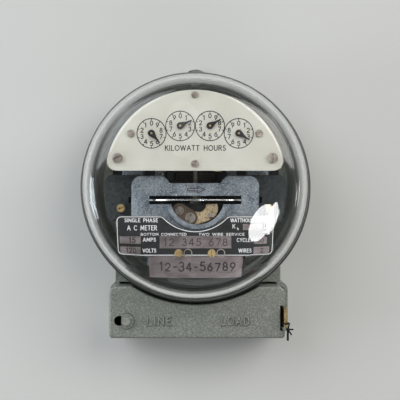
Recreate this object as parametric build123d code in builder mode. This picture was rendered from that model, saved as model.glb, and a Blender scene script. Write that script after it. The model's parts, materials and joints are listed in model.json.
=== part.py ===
from build123d import *
import math
import os

# A bottom-connected watthour meter: a round cast base with a terminal box, a wound electromagnet that drives an
# aluminium disk, a four-dial register geared to it, a glass cover held by a bayonet ring, and a terminal cover.
#
# Frame: millimetres, +Z up, +X right, the front faces -Y. The wall is the plane y = 0, and the origin is the axis
# of the round base on that plane. A "height" below is a distance forward from the wall, along -Y.

os.makedirs("parts", exist_ok=True)


def front(height):
    """A sketch plane that faces forward, at this height from the wall, with local x = X and local y = Z."""
    return Plane.XZ.offset(height)


# A half section through the base axis: local x is the radius, local y is the height from the wall.
section = Plane(origin=(0, 0, 0), x_dir=(1, 0, 0), z_dir=(0, 0, -1))

# ---------------------------------------------------------------- driving dimensions
ring_r = 84.0  # cover ring, 6 5/8 in across
wall = 3.0
floor_top = 5.0
pan_r = 78.0
pan_depth = 34.0
seat_r = 81.0
seat_top = 38.0
slack = 0.1  # a screw or pin in a hole of its own body
run_fit = 0.05  # radial clearance of a shaft that turns

box_left, box_right = -64.5, 69.5
box_bottom, box_top = -110.0, -71.0
box_depth = 30.0
neck_left, neck_right = -60.5, 64.0
neck_top = -45.0

bayonet_count = 3
lug_width = 22.0
notch_width = 31.0
notch_r = 78.4

hanger_width = 22.0
hanger_thickness = 2.5
hanger_low = 56.0
hanger_centre = 82.8
hanger_hole_r = 3.25
hanger_hole_z = 86.0
rivet_spots = [(0, 62), (0, 72)]
rivet_r = 1.5

wall_screw_spots = [(-53, -82), (58, -82)]
wall_screw_r = 3.0

terminal_xs = [-30.0, -8.0, 14.0, 36.0]
terminal_mid_z = -92.0
wire_height = 14.0
wire_r = 3.25
entry_r = 6.0
entry_left, entry_right = -39.0, 45.0  # window in the floor of the box that the entry plate fills
entry_back, entry_front = 7.0, 24.0
entry_middle = ((entry_left + entry_right) / 2, -(entry_back + entry_front) / 2)
block_top = 25.0
lug_base, lug_top = 8.2, 20.0
lead_width, lead_thickness = 4.0, 2.4

cover_left, cover_right = -63.3, 65.5
cover_low, cover_high = -110.4, -72.3
cover_back, cover_front = 30.3, 50.0
cover_sheet = 1.4
cover_arc_r = 86.0
stud_spot = (-50.3, -97.6)

disk_r = 42.0
disk_z = -9.2
disk_thickness = 1.0
spindle_height = 49.0
spindle_r = 1.5

core_back, core_front = 9.0, 19.6
coil_back, coil_front = 5.4, 23.2

plate_back, plate_front = 79.0, 82.0  # front plate of the mechanism frame
bowl_r, bowl_x, bowl_z = 18.7, 1.5, -7.4

# Register: four dials 20 mm apart, driven through a worm and three tenfold steps.
dial_gap = 20.0
dial_drop = 5.0
inner_dial_z = 40.7
dial_step = math.sqrt(dial_gap**2 - dial_drop**2)
dial_spots = {
    "ones": (dial_gap / 2 + dial_step, inner_dial_z - dial_drop),
    "tens": (dial_gap / 2, inner_dial_z),
    "hundreds": (-dial_gap / 2, inner_dial_z),
    "thousands": (-dial_gap / 2 - dial_step, inner_dial_z - dial_drop),
}
pointer_angles = {"ones": 122.0, "tens": 58.0, "hundreds": 64.0, "thousands": 139.0}  # clockwise from the top
wheel_teeth, pinion_teeth = 100, 10
dial_module = 2 * dial_gap / (wheel_teeth + pinion_teeth)
idler_module = 0.22
idler_gap = idler_module * (wheel_teeth + pinion_teeth) / 2
arbor_r = 0.75
layer_a, layer_b, layer_c, layer_d = 87.4, 84.8, 82.2, 79.5  # back faces of the wheels
wheel_thickness = 1.2
pinion_overhang = 0.3
register_back, register_back_t = 76.0, 1.5
register_front, register_front_t = 90.5, 1.5
dial_r, dial_centre_z, dial_cut_z = 61.4, 4.3, 10.6
dial_back, dial_thickness = 94.2, 0.8
pointer_back, pointer_thickness = 96.2, 0.8
mount_spots = [(-52.2, 19.1), (52.2, 19.1)]
pillar_spots = [(0, 60.5), (-8, 16.5)]
dial_screw_spots = [(0, 61.9), (-43, 35.6), (43, 35.6), (0, 15.2)]

# The idler is one dial gap from both right-hand dials, and the worm wheel's arbor one idler gap above it.
idler_drop = math.sqrt(dial_gap**2 - (dial_gap / 2) ** 2) / dial_gap
ones_x, ones_z = dial_spots["ones"]
tens_x, tens_z = dial_spots["tens"]
idler_spot = (
    (ones_x + tens_x) / 2 - dial_drop * idler_drop,
    (ones_z + tens_z) / 2 - dial_step * idler_drop,
)
worm_pitch = 1.0
worm_tip_r = 2.2
worm_wheel_r = worm_pitch * wheel_teeth / (2 * math.pi)
worm_wheel_x = worm_wheel_r + 2.03
worm_wheel_z = idler_spot[1] + math.sqrt(idler_gap**2 - (worm_wheel_x - idler_spot[0]) ** 2)
worm_wheel_spot = (worm_wheel_x, worm_wheel_z)

# ---------------------------------------------------------------- base
with BuildPart() as base_housing:
    with BuildSketch(front(0)):
        Circle(pan_r)
    extrude(amount=pan_depth)
    with BuildSketch(front(0)):
        with Locations(((neck_left + neck_right) / 2, (neck_top + box_bottom) / 2 + wall)):
            Rectangle(neck_right - neck_left, neck_top - box_bottom - 2 * wall)
        with Locations(((box_left + box_right) / 2, (box_bottom + box_top) / 2)):
            RectangleRounded(box_right - box_left, box_top - box_bottom, 6)
    extrude(amount=box_depth)
    with BuildSketch(front(pan_depth)):
        Circle(seat_r)
    extrude(amount=seat_top - pan_depth)
    # hollow of the round pan
    with BuildSketch(front(floor_top)):
        Circle(pan_r - wall)
    extrude(amount=seat_top, mode=Mode.SUBTRACT)
    # hollow of the terminal box and neck, outside the pan's own wall
    with BuildSketch(front(floor_top)):
        with Locations(((neck_left + neck_right) / 2, (neck_top + box_bottom) / 2 + 2 * wall)):
            Rectangle(neck_right - neck_left - 2 * wall, neck_top - box_bottom - 4 * wall)
        with Locations(((box_left + box_right) / 2, (box_bottom + box_top) / 2)):
            RectangleRounded(box_right - box_left - 2 * wall, box_top - box_bottom - 2 * wall, 3)
        Circle(pan_r, mode=Mode.SUBTRACT)
    extrude(amount=box_depth, mode=Mode.SUBTRACT)
    # decks that close the neck in the corners between the pan and the terminal box
    with BuildSketch(front(box_depth - wall)):
        with Locations(((neck_left + neck_right) / 2, (neck_top + box_top) / 2)):
            Rectangle(neck_right - neck_left - wall, neck_top - box_top)
        Circle(pan_r - wall / 2, mode=Mode.SUBTRACT)
    extrude(amount=wall)
    # gaps in the seat that let the ring's lugs through
    with BuildSketch(front(pan_depth)):
        with PolarLocations(seat_r, bayonet_count, start_angle=90):
            Rectangle(2 * (seat_r - notch_r), notch_width)
    extrude(amount=seat_top - pan_depth, mode=Mode.SUBTRACT)
    # windows in the pan wall for the four current leads
    with BuildSketch(front(lug_top - 1)):
        with Locations(*[(x, -72) for x in terminal_xs]):
            Rectangle(8, 20)
    extrude(amount=lead_thickness + 2, mode=Mode.SUBTRACT)
    # window for the wire entry plate in the lower wall of the box
    with BuildSketch(Plane.XY.offset(box_bottom - 1)):
        with Locations(entry_middle):
            Rectangle(entry_right - entry_left, entry_front - entry_back)
    extrude(amount=wall + 2, mode=Mode.SUBTRACT)
    # screw holes to the wall
    with BuildSketch(front(0)):
        with Locations(*wall_screw_spots):
            Circle(wall_screw_r)
        with Locations(*rivet_spots):
            Circle(rivet_r + slack)
    extrude(amount=floor_top, mode=Mode.SUBTRACT)
    # pocket for the hanger strap
    with BuildSketch(front(0)):
        with Locations((0, (hanger_low + pan_r) / 2)):
            Rectangle(hanger_width + 0.4, pan_r - hanger_low + 0.4)
    extrude(amount=hanger_thickness + 0.1, mode=Mode.SUBTRACT)
base_housing.part.label = "base_housing"
export_step(base_housing.part, "parts/base_housing.step")

with BuildPart() as entry_plate:
    with BuildSketch(Plane.XY.offset(box_bottom)):
        with Locations(entry_middle):
            Rectangle(entry_right - entry_left - 0.4, entry_front - entry_back - 0.4)
    extrude(amount=wall)
    with BuildSketch(Plane.XY.offset(box_bottom + wall)):
        with Locations(entry_middle):
            Rectangle(entry_right - entry_left + 4, entry_front - entry_back + 3)
    extrude(amount=1.8)
    with BuildSketch(Plane.XY.offset(box_bottom)):
        with Locations(*[(x, -wire_height - 1) for x in terminal_xs]):
            Circle(entry_r)
    extrude(amount=wall + 1.8, mode=Mode.SUBTRACT)
entry_plate.part.label = "entry_plate"
export_step(entry_plate.part, "parts/entry_plate.step")

with BuildPart() as hanger_lug:
    with BuildSketch(front(0)):
        with Locations((0, (hanger_low + hanger_centre) / 2)):
            Rectangle(hanger_width, hanger_centre - hanger_low)
        with Locations((0, hanger_centre)):
            Circle(hanger_width / 2)
        with Locations((0, hanger_hole_z)):
            Circle(hanger_hole_r, mode=Mode.SUBTRACT)
        with Locations(*rivet_spots):
            Circle(rivet_r + slack, mode=Mode.SUBTRACT)
    extrude(amount=hanger_thickness)
hanger_lug.part.label = "hanger_lug"
export_step(hanger_lug.part, "parts/hanger_lug.step")

with BuildPart() as hanger_rivets:
    with BuildSketch(front(0)):
        with Locations(*rivet_spots):
            Circle(rivet_r)
    extrude(amount=floor_top)
    with BuildSketch(front(floor_top)):
        with Locations(*rivet_spots):
            Circle(2 * rivet_r)
    extrude(amount=1.2)
hanger_rivets.part.label = "hanger_rivets"
export_step(hanger_rivets.part, "parts/hanger_rivets.step")


# ---------------------------------------------------------------- fasteners
def slotted_screws(spots, seat, head_r, head_height, shank_r, shank_length, slot_turn=0.0):
    """Cheese-head screws seen from the front: heads on the seat height, shanks towards the wall."""
    with BuildPart() as screws:
        with BuildSketch(front(seat - shank_length)):
            with Locations(*spots):
                Circle(shank_r)
        extrude(amount=shank_length)
        with BuildSketch(front(seat)):
            with Locations(*spots):
                Circle(head_r)
        extrude(amount=head_height)
        with BuildSketch(front(seat + head_height)):
            for number, spot in enumerate(spots):
                with Locations(spot):
                    Rectangle(2 * head_r + 1, head_r * 0.3, rotation=slot_turn + 55 * number)
        extrude(amount=-head_height * 0.45, mode=Mode.SUBTRACT)
    return screws


# ---------------------------------------------------------------- terminals
block_left, block_right = -44.0, 50.0
block_low, block_high = -103.0, -81.0
lug_width_x, lug_length_z = 12.6, 18.0
lead_seat_z = -86.2

with BuildPart() as terminal_block:
    with BuildSketch(front(floor_top)):
        with Locations(((block_left + block_right) / 2, (block_low + block_high) / 2)):
            RectangleRounded(block_right - block_left, block_high - block_low, 2)
    extrude(amount=block_top - floor_top)
    with BuildSketch(front(lug_base - 0.2)):
        with Locations(*[(x, terminal_mid_z) for x in terminal_xs]):
            Rectangle(lug_width_x + 0.4, lug_length_z + 0.4)
    extrude(amount=block_top, mode=Mode.SUBTRACT)
    # channels for the leads through the upper wall of the block
    with BuildSketch(front(lug_top - 0.2)):
        with Locations(*[(x, block_high) for x in terminal_xs]):
            Rectangle(lead_width + 1.2, 6)
    extrude(amount=block_top, mode=Mode.SUBTRACT)
    # wire bores through the lower wall of the block
    with BuildSketch(Plane.XY.offset(block_low - 1)):
        with Locations(*[(x, -wire_height) for x in terminal_xs]):
            Circle(wire_r + 0.4)
    extrude(amount=6, mode=Mode.SUBTRACT)
    # screw holes for the test link
    with BuildSketch(front(block_top)):
        with Locations((3, -98), (3, -84)):
            Circle(1.4 + slack)
    extrude(amount=-10, mode=Mode.SUBTRACT)
terminal_block.part.label = "terminal_block"
export_step(terminal_block.part, "parts/terminal_block.step")

clamp_screw_spots = [(x, z) for x in terminal_xs for z in (-97.0, -90.0)]
with BuildPart() as terminal_lugs:
    with BuildSketch(front(lug_base)):
        with Locations(*[(x, terminal_mid_z) for x in terminal_xs]):
            Rectangle(lug_width_x, lug_length_z)
    extrude(amount=lug_top - lug_base)
    with BuildSketch(Plane.XY.offset(terminal_mid_z - lug_length_z / 2)):
        with Locations(*[(x, -wire_height) for x in terminal_xs]):
            Circle(wire_r)
    extrude(amount=lug_length_z - 2, mode=Mode.SUBTRACT)
    with BuildSketch(front(lug_top)):
        with Locations(*clamp_screw_spots):
            Circle(2.0 + slack)
    extrude(amount=-4, mode=Mode.SUBTRACT)
terminal_lugs.part.label = "terminal_lugs"
export_step(terminal_lugs.part, "parts/terminal_lugs.step")

link_pivot = (3.0, -98.0)
link_catch = (3.0, -84.0)
link_back, link_thickness = block_top + 0.3, 1.2
with BuildPart() as terminal_screws:
    add(slotted_screws(clamp_screw_spots, lug_top, 3.1, 2.6, 2.0, 2.4).part)
    # the two screws of the test link
    add(slotted_screws([link_pivot, link_catch], link_back + link_thickness + 0.2, 2.9, 1.9, 1.4, 9).part)
terminal_screws.part.label = "terminal_screws"
export_step(terminal_screws.part, "parts/terminal_screws.step")

with BuildPart() as potential_link:
    with BuildSketch(front(link_back)):
        with Locations((link_pivot[0], (link_pivot[1] + link_catch[1]) / 2)):
            Rectangle(6, link_catch[1] - link_pivot[1])
        with Locations(link_pivot, link_catch):
            Circle(3)
        with Locations(link_pivot):
            Circle(1.4 + run_fit, mode=Mode.SUBTRACT)
        # the hook opens to the left, so that the link swings to the right off its screw
        with Locations(link_catch):
            Circle(1.75, mode=Mode.SUBTRACT)
        with Locations((link_catch[0] - 2, link_catch[1])):
            Rectangle(4, 3.5, mode=Mode.SUBTRACT)
    extrude(amount=link_thickness)
potential_link.part.label = "potential_link"
export_step(potential_link.part, "parts/potential_link.step")

# Four flat leads from the terminal lugs to the current coils, in front of the core.
coil_low = -34.0
lead_routes = [
    [(-30, lead_seat_z), (-30, -50), (-16, -50), (-16, coil_low)],
    [(-8, lead_seat_z), (-8, coil_low)],
    [(14, lead_seat_z), (14, -58), (6, -58), (6, coil_low)],
    [(36, lead_seat_z), (36, -50), (16, -50), (16, coil_low)],
]
with BuildPart() as current_leads:
    with BuildSketch(front(lug_top)):
        for route in lead_routes:
            for (x1, z1), (x2, z2) in zip(route, route[1:]):
                with Locations(((x1 + x2) / 2, (z1 + z2) / 2)):
                    Rectangle(max(abs(x2 - x1), lead_width), max(abs(z2 - z1), lead_width))
            for corner in route[1:-1]:
                with Locations(corner):
                    Rectangle(lead_width, lead_width)
    extrude(amount=lead_thickness)
current_leads.part.label = "current_leads"
export_step(current_leads.part, "parts/current_leads.step")

# ---------------------------------------------------------------- electromagnet
with BuildPart() as potential_core:
    with BuildSketch(front(core_back)):
        with Locations((0, 14.4)):
            Rectangle(44, 43.2)
        with Locations((-11, 15), (11, 15)):
            Rectangle(10, 28, mode=Mode.SUBTRACT)
    extrude(amount=core_front - core_back)
potential_core.part.label = "potential_core"
export_step(potential_core.part, "parts/potential_core.step")

with BuildPart() as potential_coil:
    with BuildSketch(front(coil_back)):
        with Locations((0, 15)):
            RectangleRounded(30, 24, 1.5)
    extrude(amount=coil_front - coil_back)
    with BuildSketch(front(core_back - 0.2)):
        with Locations((0, 15)):
            Rectangle(12.4, 30)
    extrude(amount=core_front - core_back + 0.4, mode=Mode.SUBTRACT)
potential_coil.part.label = "potential_coil"
export_step(potential_coil.part, "parts/potential_coil.step")

with BuildPart() as current_core:
    with BuildSketch(front(core_back)):
        with Locations((-11, -26.6), (11, -26.6)):
            Rectangle(8, 30.8)
        with Locations((0, -45)):
            Rectangle(30, 6)
    extrude(amount=core_front - core_back)
current_core.part.label = "current_core"
export_step(current_core.part, "parts/current_core.step")

with BuildPart() as current_coils:
    with BuildSketch(front(coil_back)):
        with Locations((-11, (coil_low - 15) / 2), (11, (coil_low - 15) / 2)):
            RectangleRounded(15, -15 - coil_low, 1.5)
    extrude(amount=coil_front - coil_back)
    with BuildSketch(front(core_back - 0.2)):
        with Locations((-11, -24.5), (11, -24.5)):
            Rectangle(8.4, 30)
    extrude(amount=core_front - core_back + 0.4, mode=Mode.SUBTRACT)
current_coils.part.label = "current_coils"
export_step(current_coils.part, "parts/current_coils.step")

# ---------------------------------------------------------------- drag magnets
magnet_left, magnet_right = 34.0, 64.0
magnet_low, magnet_high = -24.0, 8.5
magnet_back, magnet_front = 40.0, 68.0
magnet_screw_x, magnet_screw_z = 52.5, -15.0

with BuildPart() as drag_magnets:
    with BuildSketch(front(magnet_back)):
        magnet_mid_x = (magnet_left + magnet_right) / 2
        magnet_mid_z = (magnet_low + magnet_high) / 2
        with Locations((-magnet_mid_x, magnet_mid_z), (magnet_mid_x, magnet_mid_z)):
            RectangleRounded(magnet_right - magnet_left, magnet_high - magnet_low, 5)
        # the air gap that the disk runs in
        with Locations(*[(side * (magnet_left + 5), disk_z) for side in (-1, 1)]):
            Rectangle(16, 4.6, mode=Mode.SUBTRACT)
        with Locations(*[(side * magnet_screw_x, magnet_screw_z) for side in (-1, 1)]):
            Circle(2.0 + slack, mode=Mode.SUBTRACT)
    extrude(amount=magnet_front - magnet_back)
drag_magnets.part.label = "drag_magnets"
export_step(drag_magnets.part, "parts/drag_magnets.step")

with BuildPart() as magnet_brackets:
    with BuildSketch(front(floor_top)):
        with Locations(*[(side * 55.5, -9) for side in (-1, 1)]):
            RectangleRounded(13, 26, 3)
    extrude(amount=magnet_back - floor_top)
    with BuildSketch(front(magnet_back)):
        with Locations(*[(side * magnet_screw_x, magnet_screw_z) for side in (-1, 1)]):
            Circle(2.0 + slack)
    extrude(amount=-12, mode=Mode.SUBTRACT)
magnet_brackets.part.label = "magnet_brackets"
export_step(magnet_brackets.part, "parts/magnet_brackets.step")

with BuildPart() as magnet_clamps:
    with BuildSketch(front(magnet_back + 4)):
        with Locations(*[(side * 44.5, magnet_high + 1.75) for side in (-1, 1)]):
            Rectangle(15, 3.5)
    extrude(amount=20)
magnet_clamps.part.label = "magnet_clamps"
export_step(magnet_clamps.part, "parts/magnet_clamps.step")

magnet_screws = slotted_screws(
    [(side * magnet_screw_x, magnet_screw_z) for side in (-1, 1)], magnet_front, 2.9, 2.0, 2.0, 38, slot_turn=20
)
magnet_screws.part.label = "magnet_screws"
export_step(magnet_screws.part, "parts/magnet_screws.step")

# ---------------------------------------------------------------- mechanism frame
frame_half = 44.0
lobe_width, lobe_height, lobe_corner = 26.5, 16.0, 7.0
foot_spots = [(-27.5, 12), (27.5, 12), (-38, -52), (38, -52)]
nameplate_screw_spots = [(-11.3, -45.4), (11.3, -45.4)]
bearing_arm_z = -36.5
crossbar_z = 45.0
riser_back, riser_front = 52.0, 60.0

with BuildPart() as mechanism_frame:
    # front plate: two rounded lobes, a long slot that shows the disk edge, and a bowl-shaped opening under it
    with BuildSketch(front(plate_back)):
        with Locations((0, -24)):
            Rectangle(2 * frame_half, 48)
        with Locations((0, -55)):
            Rectangle(66, 16)
        with Locations((0, -1)):
            Rectangle(2 * (frame_half - lobe_width) + 4, 7)
        with Locations(*[(side * (frame_half - lobe_width / 2), 7.5 - lobe_height / 2) for side in (-1, 1)]):
            RectangleRounded(lobe_width, lobe_height, lobe_corner)
        with Locations((0, disk_z)):
            Rectangle(64, 5.8, mode=Mode.SUBTRACT)
        with BuildSketch(mode=Mode.SUBTRACT):
            with Locations((bowl_x, bowl_z)):
                Circle(bowl_r)
            with Locations((bowl_x, disk_z)):
                Rectangle(3 * bowl_r, 5.8, mode=Mode.SUBTRACT)
            with Locations((bowl_x, disk_z + 2.9 + bowl_r)):
                Rectangle(3 * bowl_r, 2 * bowl_r, mode=Mode.SUBTRACT)
    extrude(amount=plate_front - plate_back)
    # raised rim around the bowl
    with BuildSketch(front(plate_front)):
        with Locations((bowl_x, bowl_z)):
            Circle(bowl_r + 3.4)
            Circle(bowl_r, mode=Mode.SUBTRACT)
        with Locations((bowl_x, 16.5)):
            Rectangle(60, 60, mode=Mode.SUBTRACT)
    extrude(amount=3)
    # raised arrow that shows which way the disk turns
    with BuildSketch(front(plate_front)):
        with BuildLine():
            Polyline(
                (-6.8, -0.3), (1.8, -0.3), (1.8, 0.6), (7.4, -2.2),
                (1.8, -5.0), (1.8, -4.1), (-6.8, -4.1), (-5.2, -2.2),
                close=True,
            )
        make_face()
        offset(amount=-0.75, mode=Mode.SUBTRACT)
    extrude(amount=0.5)
    # four legs with feet on the floor of the pan
    with BuildSketch(front(floor_top)):
        with Locations((-26.5, 2), (26.5, 2), (-38, -41), (38, -41)):
            Rectangle(5, 6)
    extrude(amount=plate_back - floor_top)
    with BuildSketch(front(floor_top)):
        with Locations((-27.5, 9), (27.5, 9), (-38, -51)):
            Rectangle(8, 14)
        with Locations((38, -51)):
            Rectangle(8, 14)
        with Locations(*foot_spots):
            Circle(1.5 + slack, mode=Mode.SUBTRACT)
    extrude(amount=3)
    # risers and crossbar behind the register, with the arm of the upper bearing
    with BuildSketch(front(riser_back)):
        with Locations((-26.5, 24), (26.5, 24)):
            Rectangle(5, 48)
        with Locations((0, crossbar_z)):
            Rectangle(58, 6)
    extrude(amount=riser_front - riser_back)
    with BuildSketch(front(43)):
        with Locations((-1, crossbar_z)):
            Rectangle(8, 6)
    extrude(amount=riser_back - 43)
    with BuildSketch(Plane.XY.offset(crossbar_z - 4)):
        with Locations((0, -spindle_height)):
            Circle(2.5)
    extrude(amount=8, mode=Mode.SUBTRACT)
    # tab that carries the rear end of the worm wheel's arbor
    with BuildSketch(front(riser_back)):
        with Locations((worm_wheel_x, (worm_wheel_z - 4 + crossbar_z) / 2)):
            Rectangle(9, crossbar_z - worm_wheel_z + 4)
        with Locations(worm_wheel_spot):
            Circle(arbor_r + run_fit, mode=Mode.SUBTRACT)
    extrude(amount=2)
    # arm of the lower bearing
    with BuildSketch(front(43)):
        with Locations((0, bearing_arm_z)):
            Rectangle(12, 7)
    extrude(amount=plate_back - 43)
    with BuildSketch(Plane.XY.offset(bearing_arm_z - 4)):
        with Locations((0, -spindle_height)):
            Circle(2.5)
    extrude(amount=8, mode=Mode.SUBTRACT)
    # posts that hold the nameplate off the front plate
    with BuildSketch(front(plate_front)):
        with Locations(*nameplate_screw_spots):
            Circle(3)
    extrude(amount=4.4)
    with BuildSketch(front(plate_front + 4.4)):
        with Locations(*nameplate_screw_spots):
            Circle(1.4 + slack)
    extrude(amount=-7, mode=Mode.SUBTRACT)
mechanism_frame.part.label = "mechanism_frame"
export_step(mechanism_frame.part, "parts/mechanism_frame.step")

frame_screws = slotted_screws(foot_spots, floor_top + 3, 3.0, 2.2, 1.5, 3)
frame_screws.part.label = "frame_screws"
export_step(frame_screws.part, "parts/frame_screws.step")

# ---------------------------------------------------------------- rotor and its bearings
disk_low = disk_z - disk_thickness / 2
disk_high = disk_z + disk_thickness / 2
spindle_low, spindle_high = -26.5, 43.5
pivot_r, pivot_length = 0.5, 2.2

with BuildPart() as rotor_disk:
    with BuildSketch(Plane.XY.offset(disk_low)):
        with Locations((0, -spindle_height)):
            Circle(disk_r)
            Circle(spindle_r, mode=Mode.SUBTRACT)
            with PolarLocations(26, 2):
                Circle(1.4, mode=Mode.SUBTRACT)
    extrude(amount=disk_thickness)
rotor_disk.part.label = "rotor_disk"
export_step(rotor_disk.part, "parts/rotor_disk.step")

worm_turns = 8
with BuildPart() as rotor_spindle:
    with BuildSketch(Plane.XY.offset(spindle_low)):
        with Locations((0, -spindle_height)):
            Circle(spindle_r)
    extrude(amount=spindle_high - spindle_low)
    with BuildSketch(Plane.XY.offset(spindle_low - pivot_length)):
        with Locations((0, -spindle_height)):
            Circle(pivot_r)
    extrude(amount=spindle_high - spindle_low + 2 * pivot_length)
    # collars that clamp the disk
    with BuildSketch(Plane.XY.offset(disk_high)):
        with Locations((0, -spindle_height)):
            Circle(4)
    extrude(amount=2)
    with BuildSketch(Plane.XY.offset(disk_low)):
        with Locations((0, -spindle_height)):
            Circle(4)
    extrude(amount=-2.5)
    # single-start left-hand worm
    worm_start_z = worm_wheel_z - worm_pitch * worm_turns / 2
    worm_frame = Plane(origin=(0, -spindle_height, worm_start_z))
    with BuildLine(worm_frame) as worm_path:
        Helix(worm_pitch, worm_pitch * worm_turns, spindle_r, lefthand=True)
    with BuildSketch(Plane(origin=(0, -spindle_height, worm_start_z), x_dir=(1, 0, 0), z_dir=(0, -1, 0))) as thread:
        with BuildLine():
            Polyline(
                (spindle_r - 0.2, -0.26), (worm_tip_r, -0.12), (worm_tip_r, 0.12), (spindle_r - 0.2, 0.26), close=True
            )
        make_face()
    sweep(path=worm_path.line, is_frenet=True)
rotor_spindle.part.label = "rotor_spindle"
export_step(rotor_spindle.part, "parts/rotor_spindle.step")

with BuildPart() as upper_bearing:
    with BuildSketch(Plane.XY.offset(spindle_high + 0.6)):
        with Locations((0, -spindle_height)):
            Circle(2.5)
    extrude(amount=8)
    with BuildSketch(Plane.XY.offset(crossbar_z + 3)):
        with Locations((0, -spindle_height)):
            Circle(4)
    extrude(amount=1.5)
    with BuildSketch(Plane.XY.offset(spindle_high + 0.6)):
        with Locations((0, -spindle_height)):
            Circle(pivot_r + run_fit)
    extrude(amount=pivot_length, mode=Mode.SUBTRACT)
upper_bearing.part.label = "upper_bearing"
export_step(upper_bearing.part, "parts/upper_bearing.step")

with BuildPart() as lower_bearing:
    with BuildSketch(Plane.XY.offset(-44)):
        with Locations((0, -spindle_height)):
            Circle(2.5)
    extrude(amount=spindle_low - 0.6 + 44)
    with BuildSketch(Plane.XY.offset(-46)):
        with Locations((0, -spindle_height)):
            RegularPolygon(4.5, 12)
    extrude(amount=3.5)
    with BuildSketch(Plane.XY.offset(spindle_low - 0.6)):
        with Locations((0, -spindle_height)):
            Circle(pivot_r + run_fit)
    extrude(amount=-pivot_length, mode=Mode.SUBTRACT)
lower_bearing.part.label = "lower_bearing"
export_step(lower_bearing.part, "parts/lower_bearing.step")


# ---------------------------------------------------------------- register
def tooth_points(centre, teeth, module, first_tooth, tip_share=0.10, root_share=0.25, addendum=0.75, dedendum=1.15):
    """Outline of a gear with straight-flanked teeth, one of them centred on the angle first_tooth, in radians."""
    pitch_r = module * teeth / 2
    root_r = pitch_r - dedendum * module
    tip_r = pitch_r + addendum * module
    corners = ((root_r, -root_share), (tip_r, -tip_share), (tip_r, tip_share), (root_r, root_share))
    points = []
    for tooth in range(teeth):
        for radius, share in corners:
            angle = first_tooth + (tooth + share) * 2 * math.pi / teeth
            points.append((centre[0] + radius * math.cos(angle), centre[1] + radius * math.sin(angle)))
    return points


def direction(start, end):
    """Angle of the line from one arbor to another, in radians, counterclockwise from +X seen from the front."""
    return math.atan2(end[1] - start[1], end[0] - start[0])


def gear_arbor(spot, arbor_ends, gears):
    """A plain arbor along Y with its gears. Each gear is (back height, thickness, outline points)."""
    with BuildPart() as arbor:
        with BuildSketch(front(arbor_ends[0])):
            with Locations(spot):
                Circle(arbor_r)
        extrude(amount=arbor_ends[1] - arbor_ends[0])
        for back, thickness, outline in gears:
            with BuildSketch(front(back)):
                with BuildLine():
                    Polyline(*outline, close=True)
                make_face()
            extrude(amount=thickness)
    return arbor


def wheel_on(spot, driver, layer, module):
    """A 100-tooth wheel with a tooth that points at the pinion that drives it."""
    return (layer, wheel_thickness, tooth_points(spot, wheel_teeth, module, direction(spot, driver)))


def pinion_on(spot, driven, layer, module):
    """A 10-tooth pinion with a gap that faces the wheel it drives."""
    half_tooth = math.pi / pinion_teeth
    outline = tooth_points(spot, pinion_teeth, module, direction(spot, driven) + half_tooth)
    return (layer - pinion_overhang, wheel_thickness + 2 * pinion_overhang, outline)


register_ends = (register_back, register_front + register_front_t)
hand_ends = (register_back, pointer_back + pointer_thickness + 0.2)

# The worm wheel has a gap that faces the worm's thread.
worm_gap = math.pi + math.pi / wheel_teeth
worm_wheel_arbor = gear_arbor(
    worm_wheel_spot,
    (45.0, 81.6),
    [
        (
            spindle_height - wheel_thickness / 2,
            wheel_thickness,
            tooth_points(worm_wheel_spot, wheel_teeth, worm_pitch / math.pi, worm_gap, 0.12, 0.24, 0.9, 1.5),
        ),
        pinion_on(worm_wheel_spot, idler_spot, layer_d, idler_module),
    ],
)
worm_wheel_arbor.part.label = "worm_wheel_arbor"
export_step(worm_wheel_arbor.part, "parts/worm_wheel_arbor.step")

idler_arbor = gear_arbor(
    idler_spot,
    register_ends,
    [
        wheel_on(idler_spot, worm_wheel_spot, layer_d, idler_module),
        pinion_on(idler_spot, dial_spots["ones"], layer_a, dial_module),
    ],
)
idler_arbor.part.label = "idler_arbor"
export_step(idler_arbor.part, "parts/idler_arbor.step")

ones_arbor = gear_arbor(
    dial_spots["ones"],
    hand_ends,
    [
        wheel_on(dial_spots["ones"], idler_spot, layer_a, dial_module),
        pinion_on(dial_spots["ones"], dial_spots["tens"], layer_b, dial_module),
    ],
)
ones_arbor.part.label = "ones_arbor"
export_step(ones_arbor.part, "parts/ones_arbor.step")

tens_arbor = gear_arbor(
    dial_spots["tens"],
    hand_ends,
    [
        wheel_on(dial_spots["tens"], dial_spots["ones"], layer_b, dial_module),
        pinion_on(dial_spots["tens"], dial_spots["hundreds"], layer_c, dial_module),
    ],
)
tens_arbor.part.label = "tens_arbor"
export_step(tens_arbor.part, "parts/tens_arbor.step")

hundreds_arbor = gear_arbor(
    dial_spots["hundreds"],
    hand_ends,
    [
        wheel_on(dial_spots["hundreds"], dial_spots["tens"], layer_c, dial_module),
        pinion_on(dial_spots["hundreds"], dial_spots["thousands"], layer_a, dial_module),
    ],
)
hundreds_arbor.part.label = "hundreds_arbor"
export_step(hundreds_arbor.part, "parts/hundreds_arbor.step")

thousands_arbor = gear_arbor(
    dial_spots["thousands"],
    hand_ends,
    [wheel_on(dial_spots["thousands"], dial_spots["hundreds"], layer_a, dial_module)],
)
thousands_arbor.part.label = "thousands_arbor"
export_step(thousands_arbor.part, "parts/thousands_arbor.step")

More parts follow.
